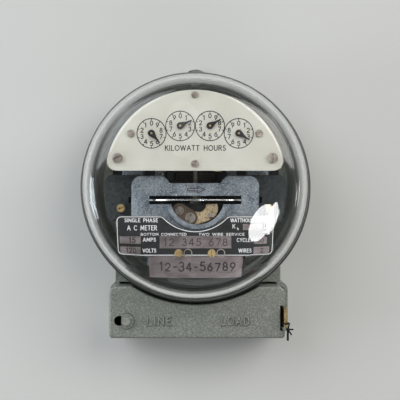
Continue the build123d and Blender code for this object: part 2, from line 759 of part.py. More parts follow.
# A pointer is a round hub with a tapered blade, turned clockwise from the top to its reading.
pointer_hub_r, pointer_reach = 2.35, 8.8
blade_side = [(0.6, 2.2), (2.4, 1.6), (4.6, 0.75), (pointer_reach, 0.22)]
blade_outline = blade_side + [(reach, -side) for reach, side in reversed(blade_side)]
for dial, angle in pointer_angles.items():
    centre_x, centre_z = dial_spots[dial]
    reading = math.radians(90 - angle)
    along = (math.cos(reading), math.sin(reading))
    across = (-along[1], along[0])
    blade = [
        (centre_x + along[0] * reach + across[0] * side, centre_z + along[1] * reach + across[1] * side)
        for reach, side in blade_outline
    ]
    with BuildPart() as pointer:
        with BuildSketch(front(pointer_back)):
            with BuildLine():
                Polyline(*blade, close=True)
            make_face()
            with Locations(dial_spots[dial]):
                Circle(pointer_hub_r)
                Circle(arbor_r, mode=Mode.SUBTRACT)
        extrude(amount=pointer_thickness)
    pointer.part.label = dial + "_pointer"
    export_step(pointer.part, "parts/" + dial + "_pointer.step")

mount_r = 2.0
plate_r = dial_r - 2.4


def register_plate(height, thickness, bearing_spots):
    """A plate of the register, with bearing holes for the arbors and holes for the two mounting screws."""
    with BuildPart() as plate:
        with BuildSketch(front(height)):
            with Locations((0, dial_centre_z)):
                Circle(plate_r)
            with Locations((0, dial_cut_z + 1.6 - plate_r)):
                Rectangle(2 * plate_r + 2, 2 * plate_r, mode=Mode.SUBTRACT)
            with Locations(*bearing_spots):
                Circle(arbor_r + run_fit, mode=Mode.SUBTRACT)
            with Locations(*mount_spots):
                Circle(mount_r + slack, mode=Mode.SUBTRACT)
        extrude(amount=thickness)
    return plate


arbor_spots = [idler_spot, *dial_spots.values()]
register_back_plate = register_plate(register_back, register_back_t, [worm_wheel_spot, *arbor_spots])
register_back_plate.part.label = "register_back_plate"
export_step(register_back_plate.part, "parts/register_back_plate.step")

register_front_plate = register_plate(register_front, register_front_t, arbor_spots)
register_front_plate.part.label = "register_front_plate"
export_step(register_front_plate.part, "parts/register_front_plate.step")

with BuildPart() as register_pillars:
    with BuildSketch(front(register_back + register_back_t)):
        with Locations(*pillar_spots):
            Circle(2.2)
        with Locations(*mount_spots):
            Circle(3.4)
            Circle(mount_r + slack, mode=Mode.SUBTRACT)
    extrude(amount=register_front - register_back - register_back_t)
    # spacers between the front plate and the dial
    with BuildSketch(front(register_front + register_front_t)):
        with Locations(*dial_screw_spots):
            Circle(2.4)
            Circle(1.0 + slack, mode=Mode.SUBTRACT)
        with Locations(*mount_spots):
            Circle(3.4)
            Circle(mount_r + slack, mode=Mode.SUBTRACT)
    extrude(amount=dial_back - register_front - register_front_t)
register_pillars.part.label = "register_pillars"
export_step(register_pillars.part, "parts/register_pillars.step")

with BuildPart() as register_posts:
    with BuildSketch(front(floor_top)):
        with Locations(*mount_spots):
            Circle(4)
    extrude(amount=register_back - floor_top)
    with BuildSketch(front(register_back)):
        with Locations(*mount_spots):
            Circle(mount_r + slack)
    extrude(amount=-14, mode=Mode.SUBTRACT)
register_posts.part.label = "register_posts"
export_step(register_posts.part, "parts/register_posts.step")

with BuildPart() as dial_face:
    with BuildSketch(front(dial_back)) as dial_outline:
        with Locations((0, dial_centre_z)):
            Circle(dial_r)
        with Locations((0, dial_cut_z - dial_r)):
            Rectangle(2 * dial_r + 2, 2 * dial_r, mode=Mode.SUBTRACT)
        fillet(dial_outline.vertices(), radius=7)
        with Locations(*dial_spots.values()):
            Circle(arbor_r + 0.5, mode=Mode.SUBTRACT)
        with Locations(*dial_screw_spots):
            Circle(1.0 + slack, mode=Mode.SUBTRACT)
        with Locations(*mount_spots):
            Circle(mount_r + slack, mode=Mode.SUBTRACT)
    extrude(amount=dial_thickness)
dial_face.part.label = "dial_face"
export_step(dial_face.part, "parts/dial_face.step")

dial_top = dial_back + dial_thickness
dial_screws = slotted_screws(dial_screw_spots, dial_top, 2.6, 1.2, 1.0, 2.8, slot_turn=70)
dial_screws.part.label = "dial_screws"
export_step(dial_screws.part, "parts/dial_screws.step")

register_mount_screws = slotted_screws(mount_spots, dial_top, 3.4, 2.6, mount_r, dial_top - 64, slot_turn=30)
register_mount_screws.part.label = "register_mount_screws"
export_step(register_mount_screws.part, "parts/register_mount_screws.step")

# ---------------------------------------------------------------- light-load adjuster, under the disk
clamp_screw_spot = (-10.9, -16.6)
adjuster_pivot = (-3.5, -21.5)
adjuster_rivet_spot = (10.0, -19.8)
bracket_back, bracket_t = 72.0, 1.5
adjuster_back, adjuster_t = 74.4, 1.5
clamp_back, clamp_t = 76.1, 1.2

with BuildPart() as adjuster_bracket:
    with BuildSketch(front(bracket_back)):
        with Locations((1.5, -21)):
            RectangleRounded(46, 19, 3)
        with Locations(clamp_screw_spot, adjuster_pivot):
            Circle(1.5 + slack, mode=Mode.SUBTRACT)
    extrude(amount=bracket_t)
    with BuildSketch(front(bracket_back + bracket_t)):
        with Locations((-19, -27), (22, -27)):
            Circle(2.2)
    extrude(amount=plate_back - bracket_back - bracket_t)
adjuster_bracket.part.label = "adjuster_bracket"
export_step(adjuster_bracket.part, "parts/adjuster_bracket.step")

with BuildPart() as adjuster_plate:
    with BuildSketch(front(adjuster_back)):
        with BuildLine():
            Polyline(
                (-6.0, -18.0), (-1.0, -17.4), (4.4, -17.4), (7.1, -14.7), (7.7, -12.0), (15.1, -11.9), (16.1, -14.7),
                (15.1, -19.4), (11.1, -22.7), (3.7, -25.9), (-2.3, -26.0), (-7.0, -23.5),
                close=True,
            )
        make_face()
        with Locations(adjuster_pivot):
            Circle(1.5 + run_fit, mode=Mode.SUBTRACT)
        with Locations(adjuster_rivet_spot):
            Circle(0.9 + slack, mode=Mode.SUBTRACT)
    extrude(amount=adjuster_t)
adjuster_plate.part.label = "adjuster_plate"
export_step(adjuster_plate.part, "parts/adjuster_plate.step")

with BuildPart() as adjuster_rivet:
    with BuildSketch(front(adjuster_back)):
        with Locations(adjuster_rivet_spot):
            Circle(0.9)
    extrude(amount=adjuster_t)
    with BuildSketch(front(adjuster_back + adjuster_t)):
        with Locations(adjuster_rivet_spot):
            RegularPolygon(1.7, 6)
    extrude(amount=0.9)
adjuster_rivet.part.label = "adjuster_rivet"
export_step(adjuster_rivet.part, "parts/adjuster_rivet.step")

with BuildPart() as adjuster_clamp:
    with BuildSketch(front(clamp_back)):
        with Locations(clamp_screw_spot, adjuster_pivot):
            Circle(5.2)
        mid_x = (clamp_screw_spot[0] + adjuster_pivot[0]) / 2
        mid_z = (clamp_screw_spot[1] + adjuster_pivot[1]) / 2
        span = math.dist(clamp_screw_spot, adjuster_pivot)
        with Locations((mid_x, mid_z)):
            Rectangle(span, 10.4, rotation=math.degrees(direction(clamp_screw_spot, adjuster_pivot)))
        with Locations(clamp_screw_spot, adjuster_pivot):
            Circle(1.5 + slack, mode=Mode.SUBTRACT)
    extrude(amount=clamp_t)
    # boss that carries the clamp on its bracket
    with BuildSketch(front(bracket_back + bracket_t)):
        with Locations(clamp_screw_spot):
            Circle(3)
            Circle(1.5 + slack, mode=Mode.SUBTRACT)
    extrude(amount=clamp_back - bracket_back - bracket_t)
adjuster_clamp.part.label = "adjuster_clamp"
export_step(adjuster_clamp.part, "parts/adjuster_clamp.step")

adjuster_screw = slotted_screws([clamp_screw_spot], clamp_back + clamp_t, 2.9, 2.0, 1.5, 5, slot_turn=120)
adjuster_screw.part.label = "adjuster_screw"
export_step(adjuster_screw.part, "parts/adjuster_screw.step")

with BuildPart() as adjuster_stud:
    with BuildSketch(front(bracket_back)):
        with Locations(adjuster_pivot):
            Circle(1.5)
    extrude(amount=clamp_back + clamp_t - bracket_back)
    with BuildSketch(front(clamp_back + clamp_t)):
        with Locations(adjuster_pivot):
            Circle(3.6)
    extrude(amount=1.2)
adjuster_stud.part.label = "adjuster_stud"
export_step(adjuster_stud.part, "parts/adjuster_stud.step")

# ---------------------------------------------------------------- nameplate and lower plates
name_back, name_t = 87.4, 1.0
name_half, name_low, name_high = 54.0, -47.5, -20.0
name_top = name_back + name_t
dip_r = 29.5
dip_z = -0.6
rating_boxes = [  # centre x, centre z, width, height
    (-44.4, -36.5, 14.6, 5.0),
    (-44.4, -43.8, 14.6, 5.2),
    (39.0, -27.6, 13.0, 4.2),
    (44.6, -36.7, 9.0, 4.8),
    (45.4, -43.8, 11.2, 5.2),
]
eyelet_spots = [(-4.9, -45.4), (17.5, -45.4)]

with BuildPart() as nameplate:
    with BuildSketch(front(name_back)) as name_outline:
        with Locations((0, (name_low + name_high) / 2)):
            RectangleRounded(2 * name_half, name_high - name_low, 3.4)
        with Locations((0, dip_z)):
            Circle(dip_r, mode=Mode.SUBTRACT)
        fillet(name_outline.vertices().filter_by(lambda v: abs(v.X) < 0.6 * name_half), radius=4)
        with Locations(*nameplate_screw_spots):
            Circle(1.4 + slack, mode=Mode.SUBTRACT)
    extrude(amount=name_t)
nameplate.part.label = "nameplate"
export_step(nameplate.part, "parts/nameplate.step")

with BuildPart() as rating_inserts:
    with BuildSketch(front(name_top)):
        for x, z, width, height in rating_boxes:
            with Locations((x, z)):
                Rectangle(width, height)
    extrude(amount=0.4)
rating_inserts.part.label = "rating_inserts"
export_step(rating_inserts.part, "parts/rating_inserts.step")

with BuildPart() as serial_plate:
    with BuildSketch(front(name_top)):
        with Locations((0.2, -37.9)):
            Rectangle(48.8, 8.4)
    extrude(amount=0.5)
serial_plate.part.label = "serial_plate"
export_step(serial_plate.part, "parts/serial_plate.step")

nameplate_screws = slotted_screws(nameplate_screw_spots, name_top, 2.7, 1.8, 1.4, 6.5, slot_turn=40)
nameplate_screws.part.label = "nameplate_screws"
export_step(nameplate_screws.part, "parts/nameplate_screws.step")

with BuildPart() as plate_eyelets:
    with BuildSketch(front(name_top)):
        with Locations(*eyelet_spots):
            Circle(3.0)
            Circle(2.3, mode=Mode.SUBTRACT)
    extrude(amount=0.8)
plate_eyelets.part.label = "plate_eyelets"
export_step(plate_eyelets.part, "parts/plate_eyelets.step")

with BuildPart() as lower_plate:
    with BuildSketch(front(name_back - 1)):
        with Locations((0.3, -52.6)):
            Rectangle(64, 21)
        with Locations(*nameplate_screw_spots):
            Circle(1.4 + slack, mode=Mode.SUBTRACT)
    extrude(amount=1)
lower_plate.part.label = "lower_plate"
export_step(lower_plate.part, "parts/lower_plate.step")

with BuildPart() as lower_shield:
    with BuildSketch(front(plate_front)):
        Circle(71.3)
        with Locations((0, 20)):
            Rectangle(200, 150, mode=Mode.SUBTRACT)
        with Locations((-70, -60), (70, -60)):
            Rectangle(72, 40, mode=Mode.SUBTRACT)
    extrude(amount=1)
lower_shield.part.label = "lower_shield"
export_step(lower_shield.part, "parts/lower_shield.step")

# ---------------------------------------------------------------- glass cover and its ring
glass_back, glass_flange_top = 40.0, 46.0
glass_flange_r, glass_side_r = 81.2, 78.2
glass_wall = 3.6
corner_start = 103.0  # height where the side turns in to the front
corner_side_r, corner_front_r = 75.8, 57.0
corner_top, glass_crown = 122.2, 124.0
crown_flat_r = 3.0  # small flat in the middle of the front


def corner_middle(side_r, top):
    """Middle point of the rounded corner between the side and the front of the glass."""
    share = math.sqrt(0.5)
    return (corner_front_r + (side_r - corner_front_r) * share, corner_start + (top - corner_start) * share)


with BuildPart() as glass_cover:
    with BuildSketch(section):
        with BuildLine():
            Polyline(
                (glass_side_r - glass_wall, glass_back), (glass_flange_r, glass_back),
                (glass_flange_r, glass_flange_top), (glass_side_r, glass_flange_top),
                (corner_side_r, corner_start),
            )
            ThreePointArc(
                (corner_side_r, corner_start), corner_middle(corner_side_r, corner_top), (corner_front_r, corner_top)
            )
            ThreePointArc(
                (corner_front_r, corner_top), (corner_front_r / 2, corner_top + 1.35), (crown_flat_r, glass_crown)
            )
            Polyline(
                (crown_flat_r, glass_crown), (0, glass_crown), (0, glass_crown - glass_wall),
                (crown_flat_r, glass_crown - glass_wall),
            )
            inner_side_r = corner_side_r - glass_wall
            inner_top = corner_top - glass_wall
            ThreePointArc(
                (crown_flat_r, glass_crown - glass_wall),
                (corner_front_r / 2, inner_top + 1.35),
                (corner_front_r, inner_top),
            )
            ThreePointArc(
                (corner_front_r, inner_top), corner_middle(inner_side_r, inner_top), (inner_side_r, corner_start)
            )
            Line((inner_side_r, corner_start), (glass_side_r - glass_wall, glass_back))
        make_face()
    revolve(axis=Axis.Y)
glass_cover.part.label = "glass_cover"
export_step(glass_cover.part, "parts/glass_cover.step")

with BuildPart() as cover_gasket:
    with BuildSketch(front(seat_top + 0.3)):
        Circle(80.4)
        Circle(75.6, mode=Mode.SUBTRACT)
    extrude(amount=glass_back - seat_top - 0.3)
cover_gasket.part.label = "cover_gasket"
export_step(cover_gasket.part, "parts/cover_gasket.step")

ring_skirt_r = 81.6
ring_lip_r = 78.9
ring_back, ring_front = 30.6, 50.6
lip_back = glass_flange_top + 0.4
groove, outer_bead_low = ring_front - 1.2, ring_front - 2.6
lug_thickness = 2.8
with BuildPart() as cover_ring:
    with BuildSketch(section):
        with BuildLine():
            Polyline(
                (ring_r, outer_bead_low), (ring_r, ring_back + 1.2), (ring_r - 0.6, ring_back),
                (ring_skirt_r, ring_back), (ring_skirt_r, lip_back), (ring_lip_r, lip_back), (ring_lip_r, groove),
            )
            # two rolled beads with a groove between them
            ThreePointArc((ring_lip_r, groove), (ring_lip_r + 0.9, groove + 0.9), (ring_lip_r + 1.8, groove))
            ThreePointArc((ring_lip_r + 1.8, groove), (ring_lip_r + 4.2, ring_front), (ring_r, outer_bead_low))
        make_face()
    revolve(axis=Axis.Y)
    # bayonet lugs that pass the gaps in the seat and turn behind it
    with BuildSketch(front(ring_back)):
        with PolarLocations(seat_r + 0.6, bayonet_count, start_angle=90):
            Rectangle(2 * (seat_r + 0.6 - 78.8), lug_width)
        Circle(ring_skirt_r + 0.2, mode=Mode.INTERSECT)
    extrude(amount=lug_thickness)
cover_ring.part.label = "cover_ring"
export_step(cover_ring.part, "parts/cover_ring.step")

# ---------------------------------------------------------------- terminal cover and its seal
hood_x, hood_z = stud_spot
hood_r, hood_wall = 5.6, 1.2
hood_step, hood_top = 1.6, 3.6
hood_flat_x = -54.0
notch_left, notch_low, notch_high = 61.9, -105.0, -86.5

with BuildPart() as terminal_cover:
    with BuildSketch(front(cover_back)) as cover_outline:
        with Locations(((cover_left + cover_right) / 2, (cover_low + cover_high) / 2)):
            Rectangle(cover_right - cover_left, cover_high - cover_low)
        fillet(cover_outline.vertices().group_by(Axis.Y)[-1], radius=5.5)
        fillet(cover_outline.vertices().group_by(Axis.Y)[0], radius=2.5)
        Circle(cover_arc_r, mode=Mode.SUBTRACT)
    extrude(amount=cover_front - cover_back)
    fillet(terminal_cover.faces().sort_by(Axis.Y)[0].edges(), radius=1.5)
    with BuildSketch(front(cover_back)) as cover_inside:
        with Locations(((cover_left + cover_right) / 2, (cover_low + cover_high) / 2)):
            Rectangle(cover_right - cover_left - 2 * cover_sheet, cover_high - cover_low - 2 * cover_sheet)
        fillet(cover_inside.vertices().group_by(Axis.Y)[-1], radius=5.5 - cover_sheet)
        Circle(cover_arc_r + cover_sheet, mode=Mode.SUBTRACT)
    extrude(amount=cover_front - cover_back - cover_sheet, mode=Mode.SUBTRACT)
    # notch for the sealing hasp
    with BuildSketch(front(cover_back)):
        with Locations(((notch_left + cover_right + 1) / 2, (notch_low + notch_high) / 2)):
            Rectangle(cover_right + 1 - notch_left, notch_high - notch_low)
    extrude(amount=cover_front, mode=Mode.SUBTRACT)
    # stepped hood pressed out over the stud, with its flat side to the left
    for radius, height in ((hood_r, hood_step), (hood_r - 2.3, hood_top)):
        with BuildSketch(front(cover_front - cover_sheet)):
            with Locations((hood_x, hood_z)):
                Circle(radius)
            with Locations((hood_flat_x - 10, hood_z)):
                Rectangle(20, 20, mode=Mode.SUBTRACT)
        extrude(amount=cover_sheet + height)
    for radius, height in ((hood_r, hood_step), (hood_r - 2.3, hood_top)):
        with BuildSketch(front(cover_front - cover_sheet)):
            with Locations((hood_x, hood_z)):
                Circle(radius - hood_wall)
        extrude(amount=cover_sheet + height - hood_wall, mode=Mode.SUBTRACT)
    # half-round hole beside the hood, where the stud's head enters
    with BuildSketch(front(cover_front - cover_sheet)):
        with Locations((hood_flat_x - 1.9, hood_z)):
            Circle(3.6)
            with Locations((1.9, 0)):
                Rectangle(3.8, 7.2)
        with Locations((hood_flat_x + 10, hood_z)):
            Rectangle(20, 20, mode=Mode.SUBTRACT)
    extrude(amount=cover_sheet, mode=Mode.SUBTRACT)
terminal_cover.part.label = "terminal_cover"
export_step(terminal_cover.part, "parts/terminal_cover.step")

with BuildPart() as cover_stud:
    with BuildSketch(front(floor_top)):
        with Locations(stud_spot):
            Circle(2.2)
    extrude(amount=45.5 - floor_top)
    with BuildSketch(front(45.5)):
        with Locations(stud_spot):
            Circle(3.4)
    extrude(amount=2.4)
cover_stud.part.label = "cover_stud"
export_step(cover_stud.part, "parts/cover_stud.step")

hasp_left, hasp_right = 64.3, box_right - wall
hasp_low, hasp_high = -101.3, -88.3
hasp_tip = 56.4
seal_z, seal_height = -98.5, 53.8

with BuildPart() as seal_hasp:
    with BuildSketch(front(10)):
        with Locations(((hasp_left + hasp_right) / 2, (hasp_low + hasp_high) / 2)):
            Rectangle(hasp_right - hasp_left, hasp_high - hasp_low)
    extrude(amount=hasp_tip - 10)
    with BuildSketch(Plane(origin=(hasp_left - 1, 0, 0), x_dir=(0, 0, 1), z_dir=(1, 0, 0))):
        with Locations((seal_z, seal_height)):
            Circle(1.3)
    extrude(amount=hasp_right - hasp_left + 2, mode=Mode.SUBTRACT)
seal_hasp.part.label = "seal_hasp"
export_step(seal_hasp.part, "parts/seal_hasp.step")

# A closed loop of sealing wire through the hasp, a knot, and three short ends.
loop_r, seal_wire_r = 2.6, 0.5
loop_x = (hasp_left + hasp_right) / 2
knot = Vector(67.0, -55.2, -103.1)
seal_rods = [  # start, end, radius
    (Vector(loop_x + loop_r, -hasp_tip, seal_z), knot, 0.55),
    (knot, Vector(71.0, -54.0, -103.2), 0.55),
    (knot, Vector(69.8, -53.0, -107.2), 0.55),
    (knot, Vector(67.1, -53.5, -111.2), 0.8),
]
with BuildPart() as seal_wire:
    with BuildSketch(Plane(origin=(loop_x, -hasp_tip, seal_z), x_dir=(1, 0, 0), z_dir=(0, -1, 0))):
        with Locations((loop_r, 0)):
            Circle(seal_wire_r)
    revolve(axis=Axis((loop_x, -hasp_tip, seal_z), (0, 0, 1)))
    for start, end, radius in seal_rods:
        with BuildSketch(Plane(origin=start, z_dir=end - start)):
            Circle(radius)
        extrude(amount=(end - start).length)
    with Locations(knot):
        Sphere(1.4)
seal_wire.part.label = "seal_wire"
export_step(seal_wire.part, "parts/seal_wire.step")
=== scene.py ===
import json
import math
import random

import bmesh
import bpy
from mathutils import Matrix, Quaternion, Vector


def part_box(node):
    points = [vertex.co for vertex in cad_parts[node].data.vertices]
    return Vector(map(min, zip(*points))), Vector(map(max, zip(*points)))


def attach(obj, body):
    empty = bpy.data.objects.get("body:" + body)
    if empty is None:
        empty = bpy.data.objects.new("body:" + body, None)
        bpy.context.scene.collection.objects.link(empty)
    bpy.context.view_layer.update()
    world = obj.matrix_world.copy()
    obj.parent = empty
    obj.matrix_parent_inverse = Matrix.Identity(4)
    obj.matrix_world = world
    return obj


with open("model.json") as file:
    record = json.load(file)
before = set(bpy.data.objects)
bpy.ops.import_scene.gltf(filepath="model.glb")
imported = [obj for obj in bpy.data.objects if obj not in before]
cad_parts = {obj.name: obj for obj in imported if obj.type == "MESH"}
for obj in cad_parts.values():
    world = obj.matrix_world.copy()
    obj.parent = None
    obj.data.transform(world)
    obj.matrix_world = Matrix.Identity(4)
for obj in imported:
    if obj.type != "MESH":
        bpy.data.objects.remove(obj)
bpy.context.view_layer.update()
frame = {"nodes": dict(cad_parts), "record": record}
nodes = frame["nodes"]
MM = 0.001


# ---------------------------------------------------------------- camera
camera = bpy.data.objects.new("camera", bpy.data.cameras.new("camera"))
bpy.context.scene.collection.objects.link(camera)
camera.location = (0.0033, -0.647, -0.0092)
camera.rotation_euler = (math.radians(90), 0, 0)
camera.data.lens = 73.5
camera.data.sensor_width = 36
camera.data.clip_start = 0.01
bpy.context.scene.camera = camera
bpy.context.scene.view_settings.view_transform = "Standard"


# ---------------------------------------------------------------- materials
class Nodes:
    """A node tree, with short calls for the nodes that the materials share."""

    def __init__(self, name):
        self.material = bpy.data.materials.new(name)
        self.material.use_nodes = True
        self.tree = self.material.node_tree
        self.tree.nodes.clear()
        self.out = self.add("ShaderNodeOutputMaterial")
        self.place = self.add("ShaderNodeTexCoord").outputs["Object"]

    def add(self, kind, inputs=(), **settings):
        node = self.tree.nodes.new(kind)
        for key, value in settings.items():
            setattr(node, key, value)
        for key, value in dict(inputs).items():
            if isinstance(value, bpy.types.NodeSocket):
                self.tree.links.new(value, node.inputs[key])
            else:
                node.inputs[key].default_value = value
        return node

    def stretched(self, x, y, z):
        """Object coordinates with each axis scaled, for brushed or laminated patterns."""
        return self.add("ShaderNodeMapping", {"Vector": self.place, "Scale": (x, y, z)}).outputs["Vector"]

    def radius(self):
        """Distance from the meter's own axis, in metres."""
        inputs = {0: self.place, 1: (1, 0, 1)}
        flat = self.add("ShaderNodeVectorMath", inputs, operation="MULTIPLY").outputs[0]
        return self.add("ShaderNodeVectorMath", {0: flat}, operation="LENGTH").outputs["Value"]

    def noise(self, scale, detail, rough=0.55, place=None):
        inputs = {"Vector": place or self.place, "Scale": scale, "Detail": detail, "Roughness": rough}
        return self.add("ShaderNodeTexNoise", inputs).outputs["Fac"]

    def cells(self, scale, feature="SMOOTH_F1", place=None):
        inputs = {"Vector": place or self.place, "Scale": scale}
        return self.add("ShaderNodeTexVoronoi", inputs, feature=feature).outputs["Distance"]

    def ramp(self, value, *stops):
        """A colour ramp; each stop is (position, colour)."""
        node = self.add("ShaderNodeValToRGB", {"Fac": value})
        marks = node.color_ramp.elements
        while len(marks) < len(stops):
            marks.new(0.5)
        for mark, (position, colour) in zip(marks, stops):
            mark.position = position
            mark.color = (*colour, 1)
        return node.outputs["Color"]

    def mapped(self, value, low, high, start=0.0, end=1.0):
        """The value carried from the range start to end over to the range low to high."""
        inputs = {"Value": value, "From Min": start, "From Max": end, "To Min": low, "To Max": high}
        return self.add("ShaderNodeMapRange", inputs).outputs["Result"]

    def blend(self, share, first, second):
        """A mix of two colours; the share is a node's output, and says how much of the second."""
        node = self.add("ShaderNodeMix", data_type="RGBA")
        for socket, value in ((node.inputs[0], share), (node.inputs[6], first), (node.inputs[7], second)):
            if isinstance(value, bpy.types.NodeSocket):
                self.tree.links.new(value, socket)
            else:
                socket.default_value = (*value, 1)
        return node.outputs[2]

    def math(self, operation, first, second):
        node = self.add("ShaderNodeMath", operation=operation)
        for socket, value in zip(node.inputs, (first, second)):
            if isinstance(value, bpy.types.NodeSocket):
                self.tree.links.new(value, socket)
            else:
                socket.default_value = value
        return node.outputs[0]

    def sum_of(self, first, first_share, second, second_share):
        """Two values added, each multiplied by its share."""
        first = self.math("MULTIPLY", first, first_share)
        second = self.math("MULTIPLY", second, second_share)
        return self.math("ADD", first, second)

    def rounded(self, radius):
        """A normal that rounds the sharp edges of the solid."""
        return self.add("ShaderNodeBevel", {"Radius": radius}, samples=4).outputs["Normal"]

    def bump(self, height, strength, distance, normal=None):
        inputs = {"Height": height, "Strength": strength, "Distance": distance}
        if normal is not None:
            inputs["Normal"] = normal
        return self.add("ShaderNodeBump", inputs).outputs["Normal"]

    def surface(self, **inputs):
        """The finished material; each name is a socket of the Principled shader, with _ for a space."""
        named = {name.replace("_", " "): value for name, value in inputs.items()}
        shader = self.add("ShaderNodeBsdfPrincipled", named)
        self.tree.links.new(shader.outputs[0], self.out.inputs["Surface"])
        return self.material


chip_colour = (0.035, 0.025, 0.02)
# painted shade: near black for the inside of the round pan
inner_shade_colour = (0.012, 0.014, 0.014)
inner_shade_fade = 0.0004  # width of the painted shade's soft edge, in metres
back_edge = (-0.0029, -0.0026)  # the painted shade inside the pan fades out between these depths, so the meter's back stays grey


def hammertone(name, dark, light, cell=900.0, inner_shade_radius=None):
    """Hammered enamel: rounded dimples with paler rims, darker mottling and a few chips down to the primer.

    Inside the given radius, in metres, the round pan is coloured near black: painted shade for its dark
    interior.
    """
    n = Nodes(name)
    wobble = n.add("ShaderNodeTexNoise", {"Vector": n.place, "Scale": 180.0, "Detail": 3.0}).outputs["Color"]
    inputs = {0: wobble, 1: (0.003, 0.003, 0.003)}
    warped = n.add("ShaderNodeVectorMath", inputs, operation="MULTIPLY").outputs[0]
    place = n.add("ShaderNodeVectorMath", {0: n.place, 1: warped}, operation="ADD").outputs[0]
    dimples = n.cells(cell, place=place)
    fine = n.noise(1500.0, 3.0)
    large = n.noise(38.0, 3.0)
    tone = n.sum_of(dimples, 0.62, fine, 0.45)
    colour = n.ramp(tone, (0.22, dark), (0.78, light))
    mottling = tuple(0.55 * part for part in light)
    colour = n.blend(n.mapped(large, 0.0, 0.25, 0.35, 0.75), colour, mottling)
    chips = n.mapped(n.cells(95.0, "F1"), 1.0, 0.0, 0.035, 0.06)
    colour = n.blend(chips, colour, chip_colour)
    # painted shade: the inside of the round pan is coloured near black, fading out towards the back
    if inner_shade_radius:
        depth = n.add("ShaderNodeSeparateXYZ", {0: n.place}).outputs["Y"]
        shaded_inside = n.mapped(n.radius(), 1.0, 0.0, inner_shade_radius, inner_shade_radius + inner_shade_fade)
        shaded_inside = n.math("MULTIPLY", shaded_inside, n.mapped(depth, 1.0, 0.0, *back_edge))
        colour = n.blend(shaded_inside, colour, inner_shade_colour)
    normal = n.bump(dimples, 0.35, 0.0005, n.rounded(0.0007))
    normal = n.bump(fine, 0.15, 0.0002, normal)
    rough = n.mapped(fine, 0.34, 0.52)
    return n.surface(Base_Color=colour, Metallic=0.25, Roughness=rough, Normal=normal, Coat_Weight=0.2)


def metal(
    name, dark, light, rough=(0.25, 0.45), scale=240.0, grain=None, bump=0.1, metallic=1.0, radius=0.0003
):
    """A dulled metal: uneven tarnish, fine scratches or grain, and softened edges."""
    n = Nodes(name)
    place = n.stretched(*grain) if grain else n.place
    tarnish = n.noise(scale, 5.0, 0.6)
    grained = n.noise(scale * 6, 3.0, 0.6, place)
    colour = n.ramp(n.sum_of(tarnish, 0.65, grained, 0.35), (0.32, dark), (0.68, light))
    normal = n.bump(grained, bump, 0.00015, n.rounded(radius))
    rough = n.mapped(tarnish, *rough, 0.3, 0.7)
    return n.surface(Base_Color=colour, Metallic=metallic, Roughness=rough, Normal=normal)


def cast_metal(name):
    """As-cast aluminium, blue-grey, with a sandy skin and soft cloudy patches."""
    n = Nodes(name)
    sand = n.noise(850.0, 5.0, 0.75)
    clouds = n.noise(75.0, 4.0, 0.6)
    specks = n.mapped(n.cells(620.0, "F1"), 1.0, 0.0, 0.08, 0.26)
    tone = n.sum_of(sand, 0.62, clouds, 0.38)
    colour = n.ramp(tone, (0.38, (0.085, 0.105, 0.13)), (0.64, (0.40, 0.44, 0.48)))
    colour = n.blend(specks, colour, (0.55, 0.58, 0.61))
    normal = n.bump(sand, 0.7, 0.0005, n.rounded(0.0008))
    rough = n.mapped(clouds, 0.42, 0.6, 0.3, 0.7)
    return n.surface(Base_Color=colour, Metallic=0.75, Roughness=rough, Normal=normal)


def enamel(name, dark, light, rough=(0.3, 0.5), specks=None, scale=60.0, sheen=0.3, radius=0.00025):
    """A flat enamelled plate: slow yellowing, faint orange peel and, if asked, small dirt specks.

    A radius of 0 leaves the edges sharp, for print.
    """
    n = Nodes(name)
    slow = n.noise(scale, 4.0)
    fine = n.noise(2400.0, 2.0)
    colour = n.ramp(slow, (0.3, dark), (0.7, light))
    if specks:
        dirt = n.mapped(n.cells(120.0, "F1"), 1.0, 0.0, 0.028, 0.045)
        colour = n.blend(dirt, colour, specks)
    normal = n.bump(fine, 0.06, 0.0001, n.rounded(radius) if radius else None)
    return n.surface(Base_Color=colour, Roughness=n.mapped(slow, *rough), Normal=normal, Coat_Weight=sheen)


def striped(name, dark, light, scale, direction, rough, metallic=0.0):
    """Laminations or turns of tape: fine stripes with dirt between them."""
    n = Nodes(name)
    inputs = {"Vector": n.place, "Scale": scale, "Distortion": 0.6, "Detail": 2.0}
    bands = n.add("ShaderNodeTexWave", inputs, bands_direction=direction).outputs["Fac"]
    dirt = n.noise(220.0, 4.0)
    colour = n.ramp(n.sum_of(bands, 0.6, dirt, 0.4), (0.2, dark), (0.8, light))
    normal = n.bump(bands, 0.4, 0.0003, n.rounded(0.0004))
    rough = n.mapped(dirt, rough - 0.1, rough + 0.15)
    return n.surface(Base_Color=colour, Metallic=metallic, Roughness=rough, Normal=normal)


def chromate(name):
    """Yellow chromate passivation, spangled gold, with brown corrosion spots."""
    n = Nodes(name)
    spangle = n.cells(900.0, "F1")
    spots = n.noise(520.0, 5.0, 0.7)
    colour = n.ramp(spangle, (0.1, (0.86, 0.72, 0.50)), (0.8, (0.58, 0.43, 0.25)))
    colour = n.blend(n.mapped(spots, 0.0, 1.0, 0.52, 0.62), colour, (0.16, 0.10, 0.055))
    normal = n.bump(spots, 0.4, 0.0002, n.rounded(0.0003))
    rough = n.mapped(spots, 0.3, 0.6, 0.3, 0.7)
    return n.surface(Base_Color=colour, Metallic=0.55, Roughness=rough, Normal=normal)


ring_edges = (0.076, 0.0845)  # inner and outer radius that the ring's painted light and dark bands are spread over, in metres
